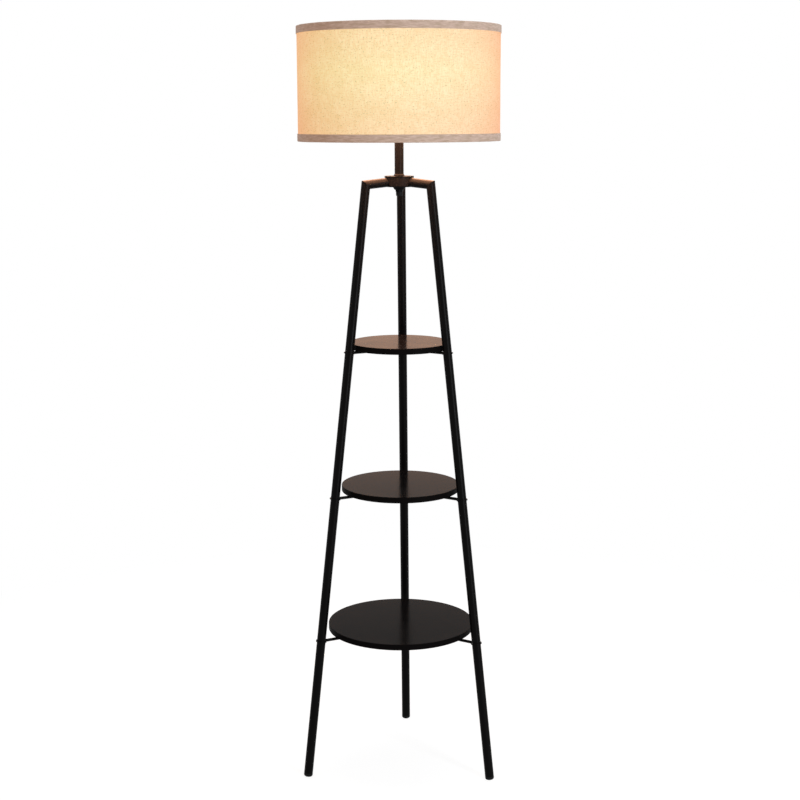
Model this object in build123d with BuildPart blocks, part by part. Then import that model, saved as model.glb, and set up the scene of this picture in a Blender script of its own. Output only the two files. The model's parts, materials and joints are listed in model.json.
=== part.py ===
from build123d import *
from math import atan2, cos, degrees, hypot, radians, sin, sqrt, tan
import os

# Shelf floor lamp: three jointed tube legs meet over a hub and carry three round shelves,
# and a short pole on the hub carries the lampholder with its bulb and drum shade.
# Millimetres, +Z up. Every piece is modelled around the lamp's axis, with the floor at
# Z = 0, and is written with the origin on the floor under the middle of the lamp's box.

# ---- Driving dimensions ----

# Tripod: centrelines of the leg and arm tubes, and the angle round the axis of each leg
FOOT_RADIUS = 215.5
CORNER_RADIUS = 73.5
CORNER_HEIGHT = 1203
ARM_SLOPE = 4.75
TUBE_DIAMETER = 18
TUBE_WALL = 1.2
LEG_ANGLES = {"left": -150, "right": -30, "rear": 90}

# Leg joints: threaded inserts in the tube ends, and the studs that join two tubes
INSERT_LENGTH = 18
STUD_DIAMETER = 8
STUD_REACH = 15
THREAD_CLEARANCE = 0.05
INSERT_CLEARANCE = 0.05

# End caps: each foot has a rounded rim, and its sole is cut level where it meets the floor
FOOT_THICKNESS = 7
FOOT_ROUNDING = 4
FOOT_PLUG_LENGTH = 14
FOOT_PLUG_CORE = 10
FOOT_RIB_THICKNESS = 1.5
FOOT_RIB_COUNT = 3

# Shelves: round boards, each with its own gap to the legs' tubes at its top face
LOWEST_SHELF_HEIGHT = 300
SHELF_SPACING = 294
SHELF_THICKNESS = 12
SHELF_ROUNDING = 0.8
BOTTOM_SHELF_LEG_GAP = 21
MIDDLE_SHELF_LEG_GAP = 16.3
TOP_SHELF_LEG_GAP = 1.6

# Shelf brackets: three rods from a screwed plate to eyelets clamped in the leg joints
ROD_DIAMETER = 6
ROD_SHELF_GAP = 0.1
ROD_TUBE_GAP = 0.3
ROD_WELD_LENGTH = 8
EYELET_RIM = 2
EYELET_THICKNESS = 2.5
EYELET_HOLE_CLEARANCE = 0.25
PLATE_DIAMETER = 64
PLATE_THICKNESS = 3
PLATE_SCREW_RADIUS = 20
SHELF_SCREW_DIAMETER = 4
SHELF_SCREW_DEPTH = 8.5
SHELF_SCREW_HEAD_DIAMETER = 8
SHELF_SCREW_HEAD_HEIGHT = 2.4
SHELF_SCREW_HEAD_TAPER = 20
SCREW_HOLE_CLEARANCE = 0.25
SHELF_SCREW_AZIMUTHS = (30, 150, 270)

# Hub: a cast cup with a flat for each arm, screwed to the arms from inside
HUB_FLAT_RADIUS = 27
HUB_FLAT_MARGIN = 0.2
HUB_HEIGHT_MARGIN = 0.25
HUB_WALL = 6
HUB_FLOOR = 4
HUB_ROUNDING = 2.5
ARM_SCREW_DIAMETER = 6
ARM_SCREW_REACH = 13
ARM_SCREW_HEAD_DIAMETER = 10
ARM_SCREW_HEAD_HEIGHT = 3.3
ARM_SCREW_HEX = 4
ARM_SCREW_HEX_DEPTH = 1.8

# Stack on the hub's nipple: cover, collar and pole above, dome, nut and bushing below
COVER_DIAMETER = 58
COVER_THICKNESS = 3
COVER_SPIGOT_HEIGHT = 1.5
COVER_SPIGOT_GAP = 0.3
COLLAR_HEIGHT = 4
COLLAR_FLARE = 1.5
COLLAR_RIM = 0.2
DOME_RADIUS = 12.5
DOME_SEAT_RADIUS = 8.5
DOME_HEIGHT = 6
DOME_CROWN_RADIUS = 13
NUT_ACROSS_FLATS = 14
NUT_HEIGHT = 4
NUT_TURN = 30
BUSHING_DIAMETER = 13
BUSHING_HEIGHT = 8
BUSHING_LIP = 2
BUSHING_LIP_WIDTH = 1.5
NIPPLE_DIAMETER = 10
NIPPLE_BORE = 7
NIPPLE_HOLE_CLEARANCE = 0.25
NIPPLE_REACH = 14
NIPPLE_TAIL = 5
POLE_LENGTH = 84

# Lampholder: cup with the rotary switch, threaded body, screw shell and centre contact
CUP_HEIGHT = 26
CUP_RADIUS = 20
CUP_NECK_RADIUS = 11
CUP_NECK_HEIGHT = 4
CUP_SHOULDER_HEIGHT = 12
CUP_WALL = 2
CUP_FLANGE_RADIUS = 23.5
CUP_FLANGE_THICKNESS = 3
BODY_HEIGHT = 30
BODY_RADIUS = 19.7
BODY_FLOOR = 2.4
BODY_RIM_CHAMFER = 0.6
SHELL_WALL = 0.6
SHELL_GAP = 0.1
SHELL_RECESS = 1.2
CONTACT_WIDTH = 7
CONTACT_THICKNESS = 0.6
CONTACT_RISE = 2.6
CONTACT_FOOT_START = 9
CONTACT_FOOT_END = 5
CONTACT_TOP_START = 2
CONTACT_TOP_END = 4
CONTACT_BEND_RADIUS = 1.2
SWITCH_SHAFT_DIAMETER = 4
SWITCH_SHAFT_CLEARANCE = 0.05
SWITCH_COLLAR_RADIUS = 4
SWITCH_COLLAR_THICKNESS = 1.5
SWITCH_END_GAP = 0.3
KNOB_DIAMETER = 11
KNOB_LENGTH = 14
KNOB_TAPER = 3
KNOB_GRIP_THICKNESS = 4.5
KNOB_GRIP_LENGTH = 10
KNOB_BORE_DEPTH = 9
RING_OUTER_RADIUS = 27
RING_HEIGHT = 8
RING_CLEARANCE = 0.25
RING_NOTCH_COUNT = 24
RING_NOTCH_RADIUS = 1.2

# Bulb: screw cap, tapered body and frosted globe
BULB_CAP_RADIUS = 13
BULB_CAP_HEIGHT = 22
BULB_CAP_WALL = 0.5
BULB_CLEARANCE = 0.3
BULB_TIP_RADIUS = 4.5
BULB_TIP_HEIGHT = 2.5
BULB_TIP_CHAMFER = 1.25
BULB_INSULATOR_HEIGHT = 3
BULB_BODY_HEIGHT = 38
BULB_NECK_DEPTH = 5
BULB_RADIUS = 30
BULB_WALL = 1.2
GLOBE_SEAT_ANGLE = 26

# Shade: fabric over a stiff liner, a wire ring in each edge and a folded trim band over it
SHADE_RADIUS = 200
SHADE_HEIGHT = 221
TRIM_THICKNESS = 1
TRIM_BAND_HEIGHT = 15
TRIM_HEM_HEIGHT = 9
FABRIC_THICKNESS = 0.8
LINER_THICKNESS = 0.5
GLUE_GAP = 0.1
WIRE_DIAMETER = 4
FITTER_RISE = 44
FITTER_OUTER_RADIUS = 29.5
FITTER_THICKNESS = 2
FITTER_ARM_DIAMETER = 3.6
FITTER_ARM_WELD = 2
FITTER_ARM_AZIMUTHS = (30, 150, 270)
FITTER_NOTCH_CLEARANCE = 0.3

# ---- Places worked out from the driving dimensions ----

TUBE_RADIUS = TUBE_DIAMETER / 2
BORE_RADIUS = TUBE_RADIUS - TUBE_WALL
INSERT_RADIUS = BORE_RADIUS - INSERT_CLEARANCE
LEG_TILT = degrees(atan2(FOOT_RADIUS - CORNER_RADIUS, CORNER_HEIGHT))
UP_THE_LEG = 1 / cos(radians(LEG_TILT))

ARM_HEIGHT = CORNER_HEIGHT + (CORNER_RADIUS - HUB_FLAT_RADIUS) * tan(radians(ARM_SLOPE))
HUB_RADIUS = hypot(HUB_FLAT_RADIUS, TUBE_RADIUS + HUB_FLAT_MARGIN)
HUB_BOTTOM = ARM_HEIGHT - TUBE_RADIUS - HUB_HEIGHT_MARGIN
HUB_TOP = ARM_HEIGHT + TUBE_RADIUS + HUB_HEIGHT_MARGIN
COVER_TOP = HUB_TOP + COVER_THICKNESS
POLE_BOTTOM = COVER_TOP + COLLAR_HEIGHT
POLE_TOP = POLE_BOTTOM + POLE_LENGTH
DOME_BOTTOM = HUB_BOTTOM - DOME_HEIGHT
NUT_BOTTOM = DOME_BOTTOM - NUT_HEIGHT
NIPPLE_HOLE_RADIUS = NIPPLE_DIAMETER / 2 + NIPPLE_HOLE_CLEARANCE
NIPPLE_THREAD_RADIUS = NIPPLE_DIAMETER / 2 + THREAD_CLEARANCE

FLANGE_TOP = POLE_TOP + CUP_HEIGHT
FITTER_TOP = FLANGE_TOP + FITTER_THICKNESS
BODY_TOP = FLANGE_TOP + BODY_HEIGHT
BODY_FLOOR_TOP = FLANGE_TOP + BODY_FLOOR
SHELL_INNER_RADIUS = BULB_CAP_RADIUS + BULB_CLEARANCE
SHELL_OUTER_RADIUS = SHELL_INNER_RADIUS + SHELL_WALL
SWITCH_HEIGHT = POLE_TOP + (CUP_SHOULDER_HEIGHT + CUP_HEIGHT - CUP_FLANGE_THICKNESS) / 2
BULB_BOTTOM = BODY_FLOOR_TOP + CONTACT_RISE + BULB_CLEARANCE
BULB_CAP_BOTTOM = BULB_BOTTOM + BULB_TIP_HEIGHT + BULB_INSULATOR_HEIGHT
BULB_CAP_TOP = BULB_CAP_BOTTOM + BULB_CAP_HEIGHT
GLOBE_BOTTOM = BULB_CAP_TOP + BULB_BODY_HEIGHT
GLOBE_CENTRE = GLOBE_BOTTOM + BULB_RADIUS * sin(radians(GLOBE_SEAT_ANGLE))
GLOBE_SEAT_RADIUS = BULB_RADIUS * cos(radians(GLOBE_SEAT_ANGLE))

WIRE_RADIUS = WIRE_DIAMETER / 2
FABRIC_OUTER = SHADE_RADIUS - TRIM_THICKNESS - GLUE_GAP
FABRIC_INNER = FABRIC_OUTER - FABRIC_THICKNESS
LINER_OUTER = FABRIC_INNER - GLUE_GAP
LINER_INNER = LINER_OUTER - LINER_THICKNESS
WIRE_CENTRE = LINER_INNER - GLUE_GAP - WIRE_RADIUS
HEM_OUTER = WIRE_CENTRE - WIRE_RADIUS - GLUE_GAP
HEM_INNER = HEM_OUTER - TRIM_THICKNESS
LOW_WIRE_HEIGHT = FLANGE_TOP + FITTER_THICKNESS / 2 - FITTER_RISE
SHADE_BOTTOM = LOW_WIRE_HEIGHT - WIRE_RADIUS - GLUE_GAP - TRIM_THICKNESS
SHADE_TOP = SHADE_BOTTOM + SHADE_HEIGHT
HIGH_WIRE_HEIGHT = SHADE_TOP - TRIM_THICKNESS - GLUE_GAP - WIRE_RADIUS
FITTER_ARM_START = FITTER_OUTER_RADIUS - FITTER_ARM_WELD
FITTER_ARM_DROP = FLANGE_TOP + FITTER_THICKNESS / 2 - LOW_WIRE_HEIGHT
FITTER_ARM_RUN = WIRE_CENTRE - FITTER_ARM_START
FITTER_ARM_SLOPE = degrees(atan2(FITTER_ARM_DROP, FITTER_ARM_RUN))

# The shade reaches furthest forward and the rear foot furthest back
REAR_REACH = FOOT_RADIUS + TUBE_RADIUS / UP_THE_LEG - FOOT_ROUNDING * sin(radians(LEG_TILT))
BOX_MIDDLE = (REAR_REACH - SHADE_RADIUS) / 2


def leg_radius(height):
    """Distance of a leg's centreline from the lamp's axis at a height."""
    return FOOT_RADIUS + (CORNER_RADIUS - FOOT_RADIUS) * height / CORNER_HEIGHT


def leaning_plane(azimuth, radius, height, lean):
    """Plane whose normal leans from vertical towards the lamp's axis, by degrees."""
    side, tilt = radians(azimuth), radians(lean)
    return Plane(
        origin=(radius * cos(side), radius * sin(side), height),
        x_dir=(-sin(side), cos(side), 0),
        z_dir=(-sin(tilt) * cos(side), -sin(tilt) * sin(side), cos(tilt)),
    )


def leg_plane(azimuth, height):
    """Plane square to a leg on its centreline, facing up the leg."""
    return leaning_plane(azimuth, leg_radius(height), height, LEG_TILT)


def arm_plane(azimuth):
    """Plane of the hub's flat that an arm butts on, facing in along the arm."""
    return leaning_plane(azimuth, HUB_FLAT_RADIUS, ARM_HEIGHT, 90 - ARM_SLOPE)


def mitre_plane(azimuth):
    """Plane of the mitred joint between a leg's top tube and its arm."""
    return leaning_plane(azimuth, CORNER_RADIUS, CORNER_HEIGHT, (LEG_TILT + 90 - ARM_SLOPE) / 2)


def save(piece, name):
    """Write one piece as its own node, in the frame that the whole lamp shares."""
    moved = Pos(0, -BOX_MIDDLE, 0) * piece.part
    moved.label = name
    export_step(moved, f"parts/{name}.step")


def shelf_values():
    """Name, height of the top face and radius of each board, from the floor up."""
    gaps = {
        "bottom": BOTTOM_SHELF_LEG_GAP,
        "middle": MIDDLE_SHELF_LEG_GAP,
        "top": TOP_SHELF_LEG_GAP,
    }
    for number, (name, gap) in enumerate(gaps.items()):
        height = LOWEST_SHELF_HEIGHT + number * SHELF_SPACING
        yield name, height, leg_radius(height) - TUBE_RADIUS * UP_THE_LEG - gap


def joint_height(shelf_height):
    """Height of the leg joint whose eyelets carry a shelf."""
    return shelf_height - SHELF_THICKNESS - ROD_SHELF_GAP - ROD_DIAMETER / 2


JOINTS = [joint_height(height) for _, height, _ in shelf_values()]


# ---- Tripod ----


def tube(plane, length, mitre=None, keep=Keep.ALL):
    """Straight piece of leg tube from a plane, mitred at its far end where a plane is given."""
    with BuildPart() as piece:
        with BuildSketch(plane):
            Circle(TUBE_RADIUS)
            Circle(BORE_RADIUS, mode=Mode.SUBTRACT)
        extrude(amount=length)
        if mitre:
            split(bisect_by=mitre, keep=keep)
    return piece


def make_leg(side, azimuth):
    """The four tubes of one leg, from the foot's cap to the mitre under the arm."""
    half_eyelet = EYELET_THICKNESS / 2
    start = leg_plane(azimuth, 0).offset(FOOT_THICKNESS)
    length = JOINTS[0] * UP_THE_LEG - FOOT_THICKNESS - half_eyelet
    save(tube(start, length), f"leg_{side}_bottom")
    for name, low, high in zip(("lower", "upper"), JOINTS, JOINTS[1:]):
        start = leg_plane(azimuth, low).offset(half_eyelet)
        save(tube(start, (high - low) * UP_THE_LEG - EYELET_THICKNESS), f"leg_{side}_{name}")
    start = leg_plane(azimuth, JOINTS[-1]).offset(half_eyelet)
    past_corner = (CORNER_HEIGHT - JOINTS[-1]) * UP_THE_LEG + TUBE_DIAMETER
    save(tube(start, past_corner, mitre_plane(azimuth), Keep.BOTTOM), f"leg_{side}_top")


def make_arm(side, azimuth):
    """Short arm from the hub's flat out to the mitre over its leg."""
    past_corner = CORNER_RADIUS - HUB_FLAT_RADIUS + TUBE_DIAMETER
    arm = tube(arm_plane(azimuth), -past_corner, mitre_plane(azimuth), Keep.TOP)
    save(arm, f"arm_{side}")


def make_foot(side, azimuth):
    """End cap with a rounded rim, and a ribbed plug that holds it in the tube."""
    with BuildPart() as foot:
        with BuildSketch(leg_plane(azimuth, 0)):
            Circle(TUBE_RADIUS)
        extrude(amount=FOOT_THICKNESS)
        rim = foot.edges().filter_by(GeomType.CIRCLE).sort_by(Axis.Z)[0]
        fillet(rim, radius=FOOT_ROUNDING)
        with BuildSketch(leg_plane(azimuth, 0).offset(FOOT_THICKNESS)):
            Circle(FOOT_PLUG_CORE / 2)
        extrude(amount=FOOT_PLUG_LENGTH)
        rib_pitch = FOOT_PLUG_LENGTH / FOOT_RIB_COUNT
        for number in range(FOOT_RIB_COUNT):
            rib_bottom = FOOT_THICKNESS + (number + 1) * rib_pitch - FOOT_RIB_THICKNESS
            with BuildSketch(leg_plane(azimuth, 0).offset(rib_bottom)):
                Circle(INSERT_RADIUS)
            extrude(amount=FOOT_RIB_THICKNESS)
        split(bisect_by=Plane.XY, keep=Keep.TOP)
    save(foot, f"foot_{side}")


def make_leg_inserts():
    """Threaded plugs in both tube ends at every leg joint."""
    with BuildPart() as leg_inserts:
        for azimuth in LEG_ANGLES.values():
            for height in JOINTS:
                for direction in (1, -1):
                    face = leg_plane(azimuth, height).offset(direction * EYELET_THICKNESS / 2)
                    with BuildSketch(face):
                        Circle(INSERT_RADIUS)
                        Circle(STUD_DIAMETER / 2 + THREAD_CLEARANCE, mode=Mode.SUBTRACT)
                    extrude(amount=direction * INSERT_LENGTH)
    save(leg_inserts, "leg_inserts")


def make_joint_studs():
    """Headless studs through the eyelets, with the tube above and the tube below."""
    with BuildPart() as joint_studs:
        for azimuth in LEG_ANGLES.values():
            for height in JOINTS:
                with BuildSketch(leg_plane(azimuth, height)):
                    Circle(STUD_DIAMETER / 2)
                extrude(amount=STUD_REACH, both=True)
    save(joint_studs, "joint_studs")


# ---- Shelves ----


def make_shelf(name, top, radius):
    """Round board with eased edges and blind pilot holes in its underside."""
    underside = top - SHELF_THICKNESS
    with BuildPart() as shelf:
        with BuildSketch(Plane.XY.offset(underside)):
            Circle(radius)
        extrude(amount=SHELF_THICKNESS)
        fillet(shelf.edges().filter_by(GeomType.CIRCLE), radius=SHELF_ROUNDING)
        with BuildSketch(Plane.XY.offset(underside)):
            for azimuth in SHELF_SCREW_AZIMUTHS:
                with PolarLocations(PLATE_SCREW_RADIUS, 1, start_angle=azimuth):
                    Circle(SHELF_SCREW_DIAMETER / 2 + THREAD_CLEARANCE)
        extrude(amount=SHELF_SCREW_DEPTH, mode=Mode.SUBTRACT)
    save(shelf, f"shelf_{name}")


def make_shelf_bracket(name, top):
    """Welded bracket: a plate under the board, and three rods with eyelets at the legs."""
    underside = top - SHELF_THICKNESS
    joint = joint_height(top)
    rod_start = PLATE_DIAMETER / 2 - ROD_WELD_LENGTH
    tube_half_width = TUBE_RADIUS * UP_THE_LEG + ROD_DIAMETER / 2 * tan(radians(LEG_TILT))
    rod_end = leg_radius(joint) - tube_half_width - ROD_TUBE_GAP
    with BuildPart() as bracket:
        with BuildSketch(Plane.XY.offset(underside - PLATE_THICKNESS)):
            Circle(PLATE_DIAMETER / 2)
        extrude(amount=PLATE_THICKNESS)
        for azimuth in LEG_ANGLES.values():
            with BuildSketch(leaning_plane(azimuth, rod_start, joint, 90)):
                Circle(ROD_DIAMETER / 2)
            extrude(amount=rod_start - rod_end)
            eyelet_face = leg_plane(azimuth, joint).offset(-EYELET_THICKNESS / 2)
            with BuildSketch(eyelet_face):
                Circle(TUBE_RADIUS + EYELET_RIM)
            extrude(amount=EYELET_THICKNESS)
            with BuildSketch(eyelet_face):
                Circle(STUD_DIAMETER / 2 + EYELET_HOLE_CLEARANCE)
            extrude(amount=EYELET_THICKNESS, mode=Mode.SUBTRACT)
        with BuildSketch(Plane.XY.offset(underside)):
            for azimuth in SHELF_SCREW_AZIMUTHS:
                with PolarLocations(PLATE_SCREW_RADIUS, 1, start_angle=azimuth):
                    Circle(SHELF_SCREW_DIAMETER / 2 + SCREW_HOLE_CLEARANCE)
        extrude(amount=-PLATE_THICKNESS, mode=Mode.SUBTRACT)
    save(bracket, f"shelf_bracket_{name}")


def make_shelf_screws(name, top):
    """Pan-head screws up through the bracket's plate into the board."""
    plate_bottom = top - SHELF_THICKNESS - PLATE_THICKNESS
    with BuildPart() as screws:
        for azimuth in SHELF_SCREW_AZIMUTHS:
            with BuildSketch(Plane.XY.offset(plate_bottom)):
                with PolarLocations(PLATE_SCREW_RADIUS, 1, start_angle=azimuth):
                    Circle(SHELF_SCREW_DIAMETER / 2)
            extrude(amount=PLATE_THICKNESS + SHELF_SCREW_DEPTH)
            with BuildSketch(Plane.XY.offset(plate_bottom)):
                with PolarLocations(PLATE_SCREW_RADIUS, 1, start_angle=azimuth):
                    Circle(SHELF_SCREW_HEAD_DIAMETER / 2)
            extrude(amount=-SHELF_SCREW_HEAD_HEIGHT, taper=SHELF_SCREW_HEAD_TAPER)
    save(screws, f"shelf_screws_{name}")


# ---- Hub and pole ----


def make_hub_body():
    """Cast cup: a flat outside and a drafted wall inside for each arm, and a bored floor."""
    floor_top = HUB_BOTTOM + HUB_FLOOR
    rise_to_arm = ARM_HEIGHT - floor_top
    draft = tan(radians(ARM_SLOPE))
    pocket_apothem = HUB_FLAT_RADIUS - HUB_WALL / cos(radians(ARM_SLOPE)) - rise_to_arm * draft
    with BuildPart() as hub_body:
        with BuildSketch(Plane.XY.offset(HUB_BOTTOM)):
            Circle(HUB_RADIUS)
        extrude(amount=HUB_TOP - HUB_BOTTOM)
        rim = hub_body.edges().filter_by(GeomType.CIRCLE).sort_by(Axis.Z)[0]
        fillet(rim, radius=HUB_ROUNDING)
        with BuildSketch(Plane.XY.offset(floor_top)):
            RegularPolygon(pocket_apothem, 6, major_radius=False)
        extrude(amount=HUB_TOP - floor_top, taper=-ARM_SLOPE, mode=Mode.SUBTRACT)
        with BuildSketch(Plane.XY.offset(HUB_BOTTOM)):
            Circle(NIPPLE_HOLE_RADIUS)
        extrude(amount=HUB_FLOOR, mode=Mode.SUBTRACT)
        for azimuth in LEG_ANGLES.values():
            with BuildSketch(arm_plane(azimuth)):
                Rectangle(2 * HUB_RADIUS, 2 * (HUB_TOP - HUB_BOTTOM))
            extrude(amount=-HUB_RADIUS, mode=Mode.SUBTRACT)
            with BuildSketch(arm_plane(azimuth)):
                Circle(ARM_SCREW_DIAMETER / 2 + SCREW_HOLE_CLEARANCE)
            extrude(amount=HUB_WALL, mode=Mode.SUBTRACT)
    save(hub_body, "hub_body")


def make_arm_inserts():
    """Threaded plugs in the arms' inner ends."""
    with BuildPart() as arm_inserts:
        for azimuth in LEG_ANGLES.values():
            with BuildSketch(arm_plane(azimuth)):
                Circle(INSERT_RADIUS)
                Circle(ARM_SCREW_DIAMETER / 2 + THREAD_CLEARANCE, mode=Mode.SUBTRACT)
            extrude(amount=-INSERT_LENGTH)
    save(arm_inserts, "arm_inserts")


def make_arm_screws():
    """Socket-head screws from inside the hub's cup into the arms."""
    with BuildPart() as arm_screws:
        for azimuth in LEG_ANGLES.values():
            wall_plane = arm_plane(azimuth).offset(HUB_WALL)
            with BuildSketch(wall_plane):
                Circle(ARM_SCREW_DIAMETER / 2)
            extrude(amount=-(HUB_WALL + ARM_SCREW_REACH))
            with BuildSketch(wall_plane):
                Circle(ARM_SCREW_HEAD_DIAMETER / 2)
            extrude(amount=ARM_SCREW_HEAD_HEIGHT)
            with BuildSketch(wall_plane.offset(ARM_SCREW_HEAD_HEIGHT)):
                RegularPolygon(ARM_SCREW_HEX / 2, 6, major_radius=False)
            extrude(amount=-ARM_SCREW_HEX_DEPTH, mode=Mode.SUBTRACT)
    save(arm_screws, "arm_screws")


def make_hub_cover():
    """Thin disc over the hub and the arms' ends, with a spigot that centres it in the cup."""
    floor_top = HUB_BOTTOM + HUB_FLOOR
    lip = COVER_SPIGOT_HEIGHT
    wall_at_lip = (HUB_TOP - lip - ARM_HEIGHT) * tan(radians(ARM_SLOPE))
    spigot = HUB_FLAT_RADIUS - HUB_WALL / cos(radians(ARM_SLOPE)) + wall_at_lip
    with BuildPart() as hub_cover:
        with BuildSketch(Plane.XY.offset(HUB_TOP)):
            Circle(COVER_DIAMETER / 2)
        extrude(amount=COVER_THICKNESS)
        with BuildSketch(Plane.XY.offset(HUB_TOP)):
            Circle(spigot - COVER_SPIGOT_GAP)
        extrude(amount=-lip)
        with BuildSketch(Plane.XY.offset(floor_top)):
            Circle(NIPPLE_HOLE_RADIUS)
        extrude(amount=COVER_TOP - floor_top, mode=Mode.SUBTRACT)
    save(hub_cover, "hub_cover")


def make_pole_collar():
    """Flared collar that the pole stands on."""
    foot = TUBE_RADIUS + COLLAR_FLARE
    with BuildPart() as pole_collar:
        with BuildSketch(Plane.XZ):
            with BuildLine():
                Polyline(
                    (foot, COVER_TOP + COLLAR_FLARE),
                    (foot, COVER_TOP),
                    (NIPPLE_HOLE_RADIUS, COVER_TOP),
                    (NIPPLE_HOLE_RADIUS, POLE_BOTTOM),
                    (TUBE_RADIUS + COLLAR_RIM, POLE_BOTTOM),
                )
                Line((TUBE_RADIUS + COLLAR_RIM, POLE_BOTTOM), (foot, COVER_TOP + COLLAR_FLARE))
            make_face()
        revolve(axis=Axis.Z)
    save(pole_collar, "pole_collar")


def make_pole():
    """Straight pole from the collar up to the lampholder."""
    save(tube(Plane.XY.offset(POLE_BOTTOM), POLE_LENGTH), "pole")


def make_pole_inserts():
    """Threaded plugs in both ends of the pole."""
    with BuildPart() as pole_inserts:
        for height, direction in ((POLE_BOTTOM, 1), (POLE_TOP, -1)):
            with BuildSketch(Plane.XY.offset(height)):
                Circle(INSERT_RADIUS)
                Circle(NIPPLE_THREAD_RADIUS, mode=Mode.SUBTRACT)
            extrude(amount=direction * INSERT_LENGTH)
    save(pole_inserts, "pole_inserts")


def nipple(bottom, top):
    """Hollow threaded rod that leads the wires."""
    with BuildPart() as piece:
        with BuildSketch(Plane.XY.offset(bottom)):
            Circle(NIPPLE_DIAMETER / 2)
            Circle(NIPPLE_BORE / 2, mode=Mode.SUBTRACT)
        extrude(amount=top - bottom)
    return piece


def make_hub_dome():
    """Domed washer that closes the hub from below."""
    with BuildPart() as hub_dome:
        with BuildSketch(Plane.XZ):
            with BuildLine():
                Polyline(
                    (DOME_SEAT_RADIUS, DOME_BOTTOM),
                    (NIPPLE_HOLE_RADIUS, DOME_BOTTOM),
                    (NIPPLE_HOLE_RADIUS, HUB_BOTTOM),
                    (DOME_RADIUS, HUB_BOTTOM),
                )
                RadiusArc(
                    (DOME_RADIUS, HUB_BOTTOM),
                    (DOME_SEAT_RADIUS, DOME_BOTTOM),
                    DOME_CROWN_RADIUS,
                )
            make_face()
        revolve(axis=Axis.Z)
    save(hub_dome, "hub_dome")


def make_hub_nut():
    """Hexagonal nut on the nipple under the dome, with its flats to the sides."""
    with BuildPart() as hub_nut:
        with BuildSketch(Plane.XY.offset(NUT_BOTTOM)):
            RegularPolygon(NUT_ACROSS_FLATS / 2, 6, major_radius=False, rotation=NUT_TURN)
            Circle(NIPPLE_THREAD_RADIUS, mode=Mode.SUBTRACT)
        extrude(amount=NUT_HEIGHT)
    save(hub_nut, "hub_nut")


def make_cord_bushing():
    """Smooth plastic bushing on the nipple's lower end, where the cord would leave."""
    bottom = NUT_BOTTOM - BUSHING_HEIGHT
    with BuildPart() as cord_bushing:
        with BuildSketch(Plane.XY.offset(bottom)):
            Circle(BUSHING_DIAMETER / 2)
        extrude(amount=BUSHING_HEIGHT)
        fillet(cord_bushing.edges().filter_by(GeomType.CIRCLE).sort_by(Axis.Z)[0], radius=BUSHING_LIP)
        with BuildSketch(Plane.XY.offset(NUT_BOTTOM)):
            Circle(NIPPLE_THREAD_RADIUS)
        extrude(amount=-(BUSHING_HEIGHT - BUSHING_LIP), mode=Mode.SUBTRACT)
        with BuildSketch(Plane.XY.offset(bottom)):
            Circle(NIPPLE_THREAD_RADIUS - BUSHING_LIP_WIDTH)
        extrude(amount=BUSHING_LIP, mode=Mode.SUBTRACT)
    save(cord_bushing, "cord_bushing")


# ---- Lampholder and switch ----


def make_socket_cup():
    """Turned cup of the lampholder, with a flange for the shade and a hole for the switch."""
    neck_top = POLE_TOP + CUP_NECK_HEIGHT
    shoulder = POLE_TOP + CUP_SHOULDER_HEIGHT
    flange_bottom = FLANGE_TOP - CUP_FLANGE_THICKNESS
    inner_radius = CUP_RADIUS - CUP_WALL
    with BuildPart() as socket_cup:
        with BuildSketch(Plane.XZ):
            with BuildLine():
                Polyline(
                    (CUP_NECK_RADIUS, neck_top),
                    (CUP_NECK_RADIUS, POLE_TOP),
                    (NIPPLE_THREAD_RADIUS, POLE_TOP),
                    (NIPPLE_THREAD_RADIUS, neck_top + CUP_WALL),
                    (CUP_NECK_RADIUS, neck_top + CUP_WALL),
                    (inner_radius, shoulder),
                    (inner_radius, FLANGE_TOP),
                    (CUP_FLANGE_RADIUS, FLANGE_TOP),
                    (CUP_FLANGE_RADIUS, flange_bottom),
                    (CUP_RADIUS, flange_bottom),
                    (CUP_RADIUS, shoulder),
                )
                RadiusArc((CUP_RADIUS, shoulder), (CUP_NECK_RADIUS, neck_top), CUP_RADIUS)
            make_face()
        revolve(axis=Axis.Z)
        with BuildSketch(Plane.YZ.offset(inner_radius - CUP_WALL)):
            with Locations((0, SWITCH_HEIGHT)):
                Circle(SWITCH_SHAFT_DIAMETER / 2 + SWITCH_SHAFT_CLEARANCE)
        extrude(amount=2 * CUP_WALL + CUP_RADIUS - inner_radius, mode=Mode.SUBTRACT)
    save(socket_cup, "socket_cup")


def make_socket_body():
    """Moulded upper half of the lampholder, bored for the screw shell."""
    with BuildPart() as socket_body:
        with BuildSketch(Plane.XY.offset(FLANGE_TOP)):
            Circle(BODY_RADIUS)
        extrude(amount=BODY_HEIGHT)
        with BuildSketch(Plane.XY.offset(BODY_TOP)):
            Circle(SHELL_OUTER_RADIUS + SHELL_GAP)
        extrude(amount=-(BODY_HEIGHT - BODY_FLOOR), mode=Mode.SUBTRACT)
        chamfer(socket_body.edges().group_by(Axis.Z)[-1], length=BODY_RIM_CHAMFER)
    save(socket_body, "socket_body")


def make_socket_shell():
    """Brass screw shell that takes the bulb."""
    with BuildPart() as socket_shell:
        with BuildSketch(Plane.XY.offset(BODY_FLOOR_TOP)):
            Circle(SHELL_OUTER_RADIUS)
        extrude(amount=BODY_HEIGHT - BODY_FLOOR - SHELL_RECESS)
        with BuildSketch(Plane.XY.offset(BODY_FLOOR_TOP)):
            Circle(SHELL_INNER_RADIUS)
        extrude(amount=BODY_HEIGHT, mode=Mode.SUBTRACT)
    save(socket_shell, "socket_shell")


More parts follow.
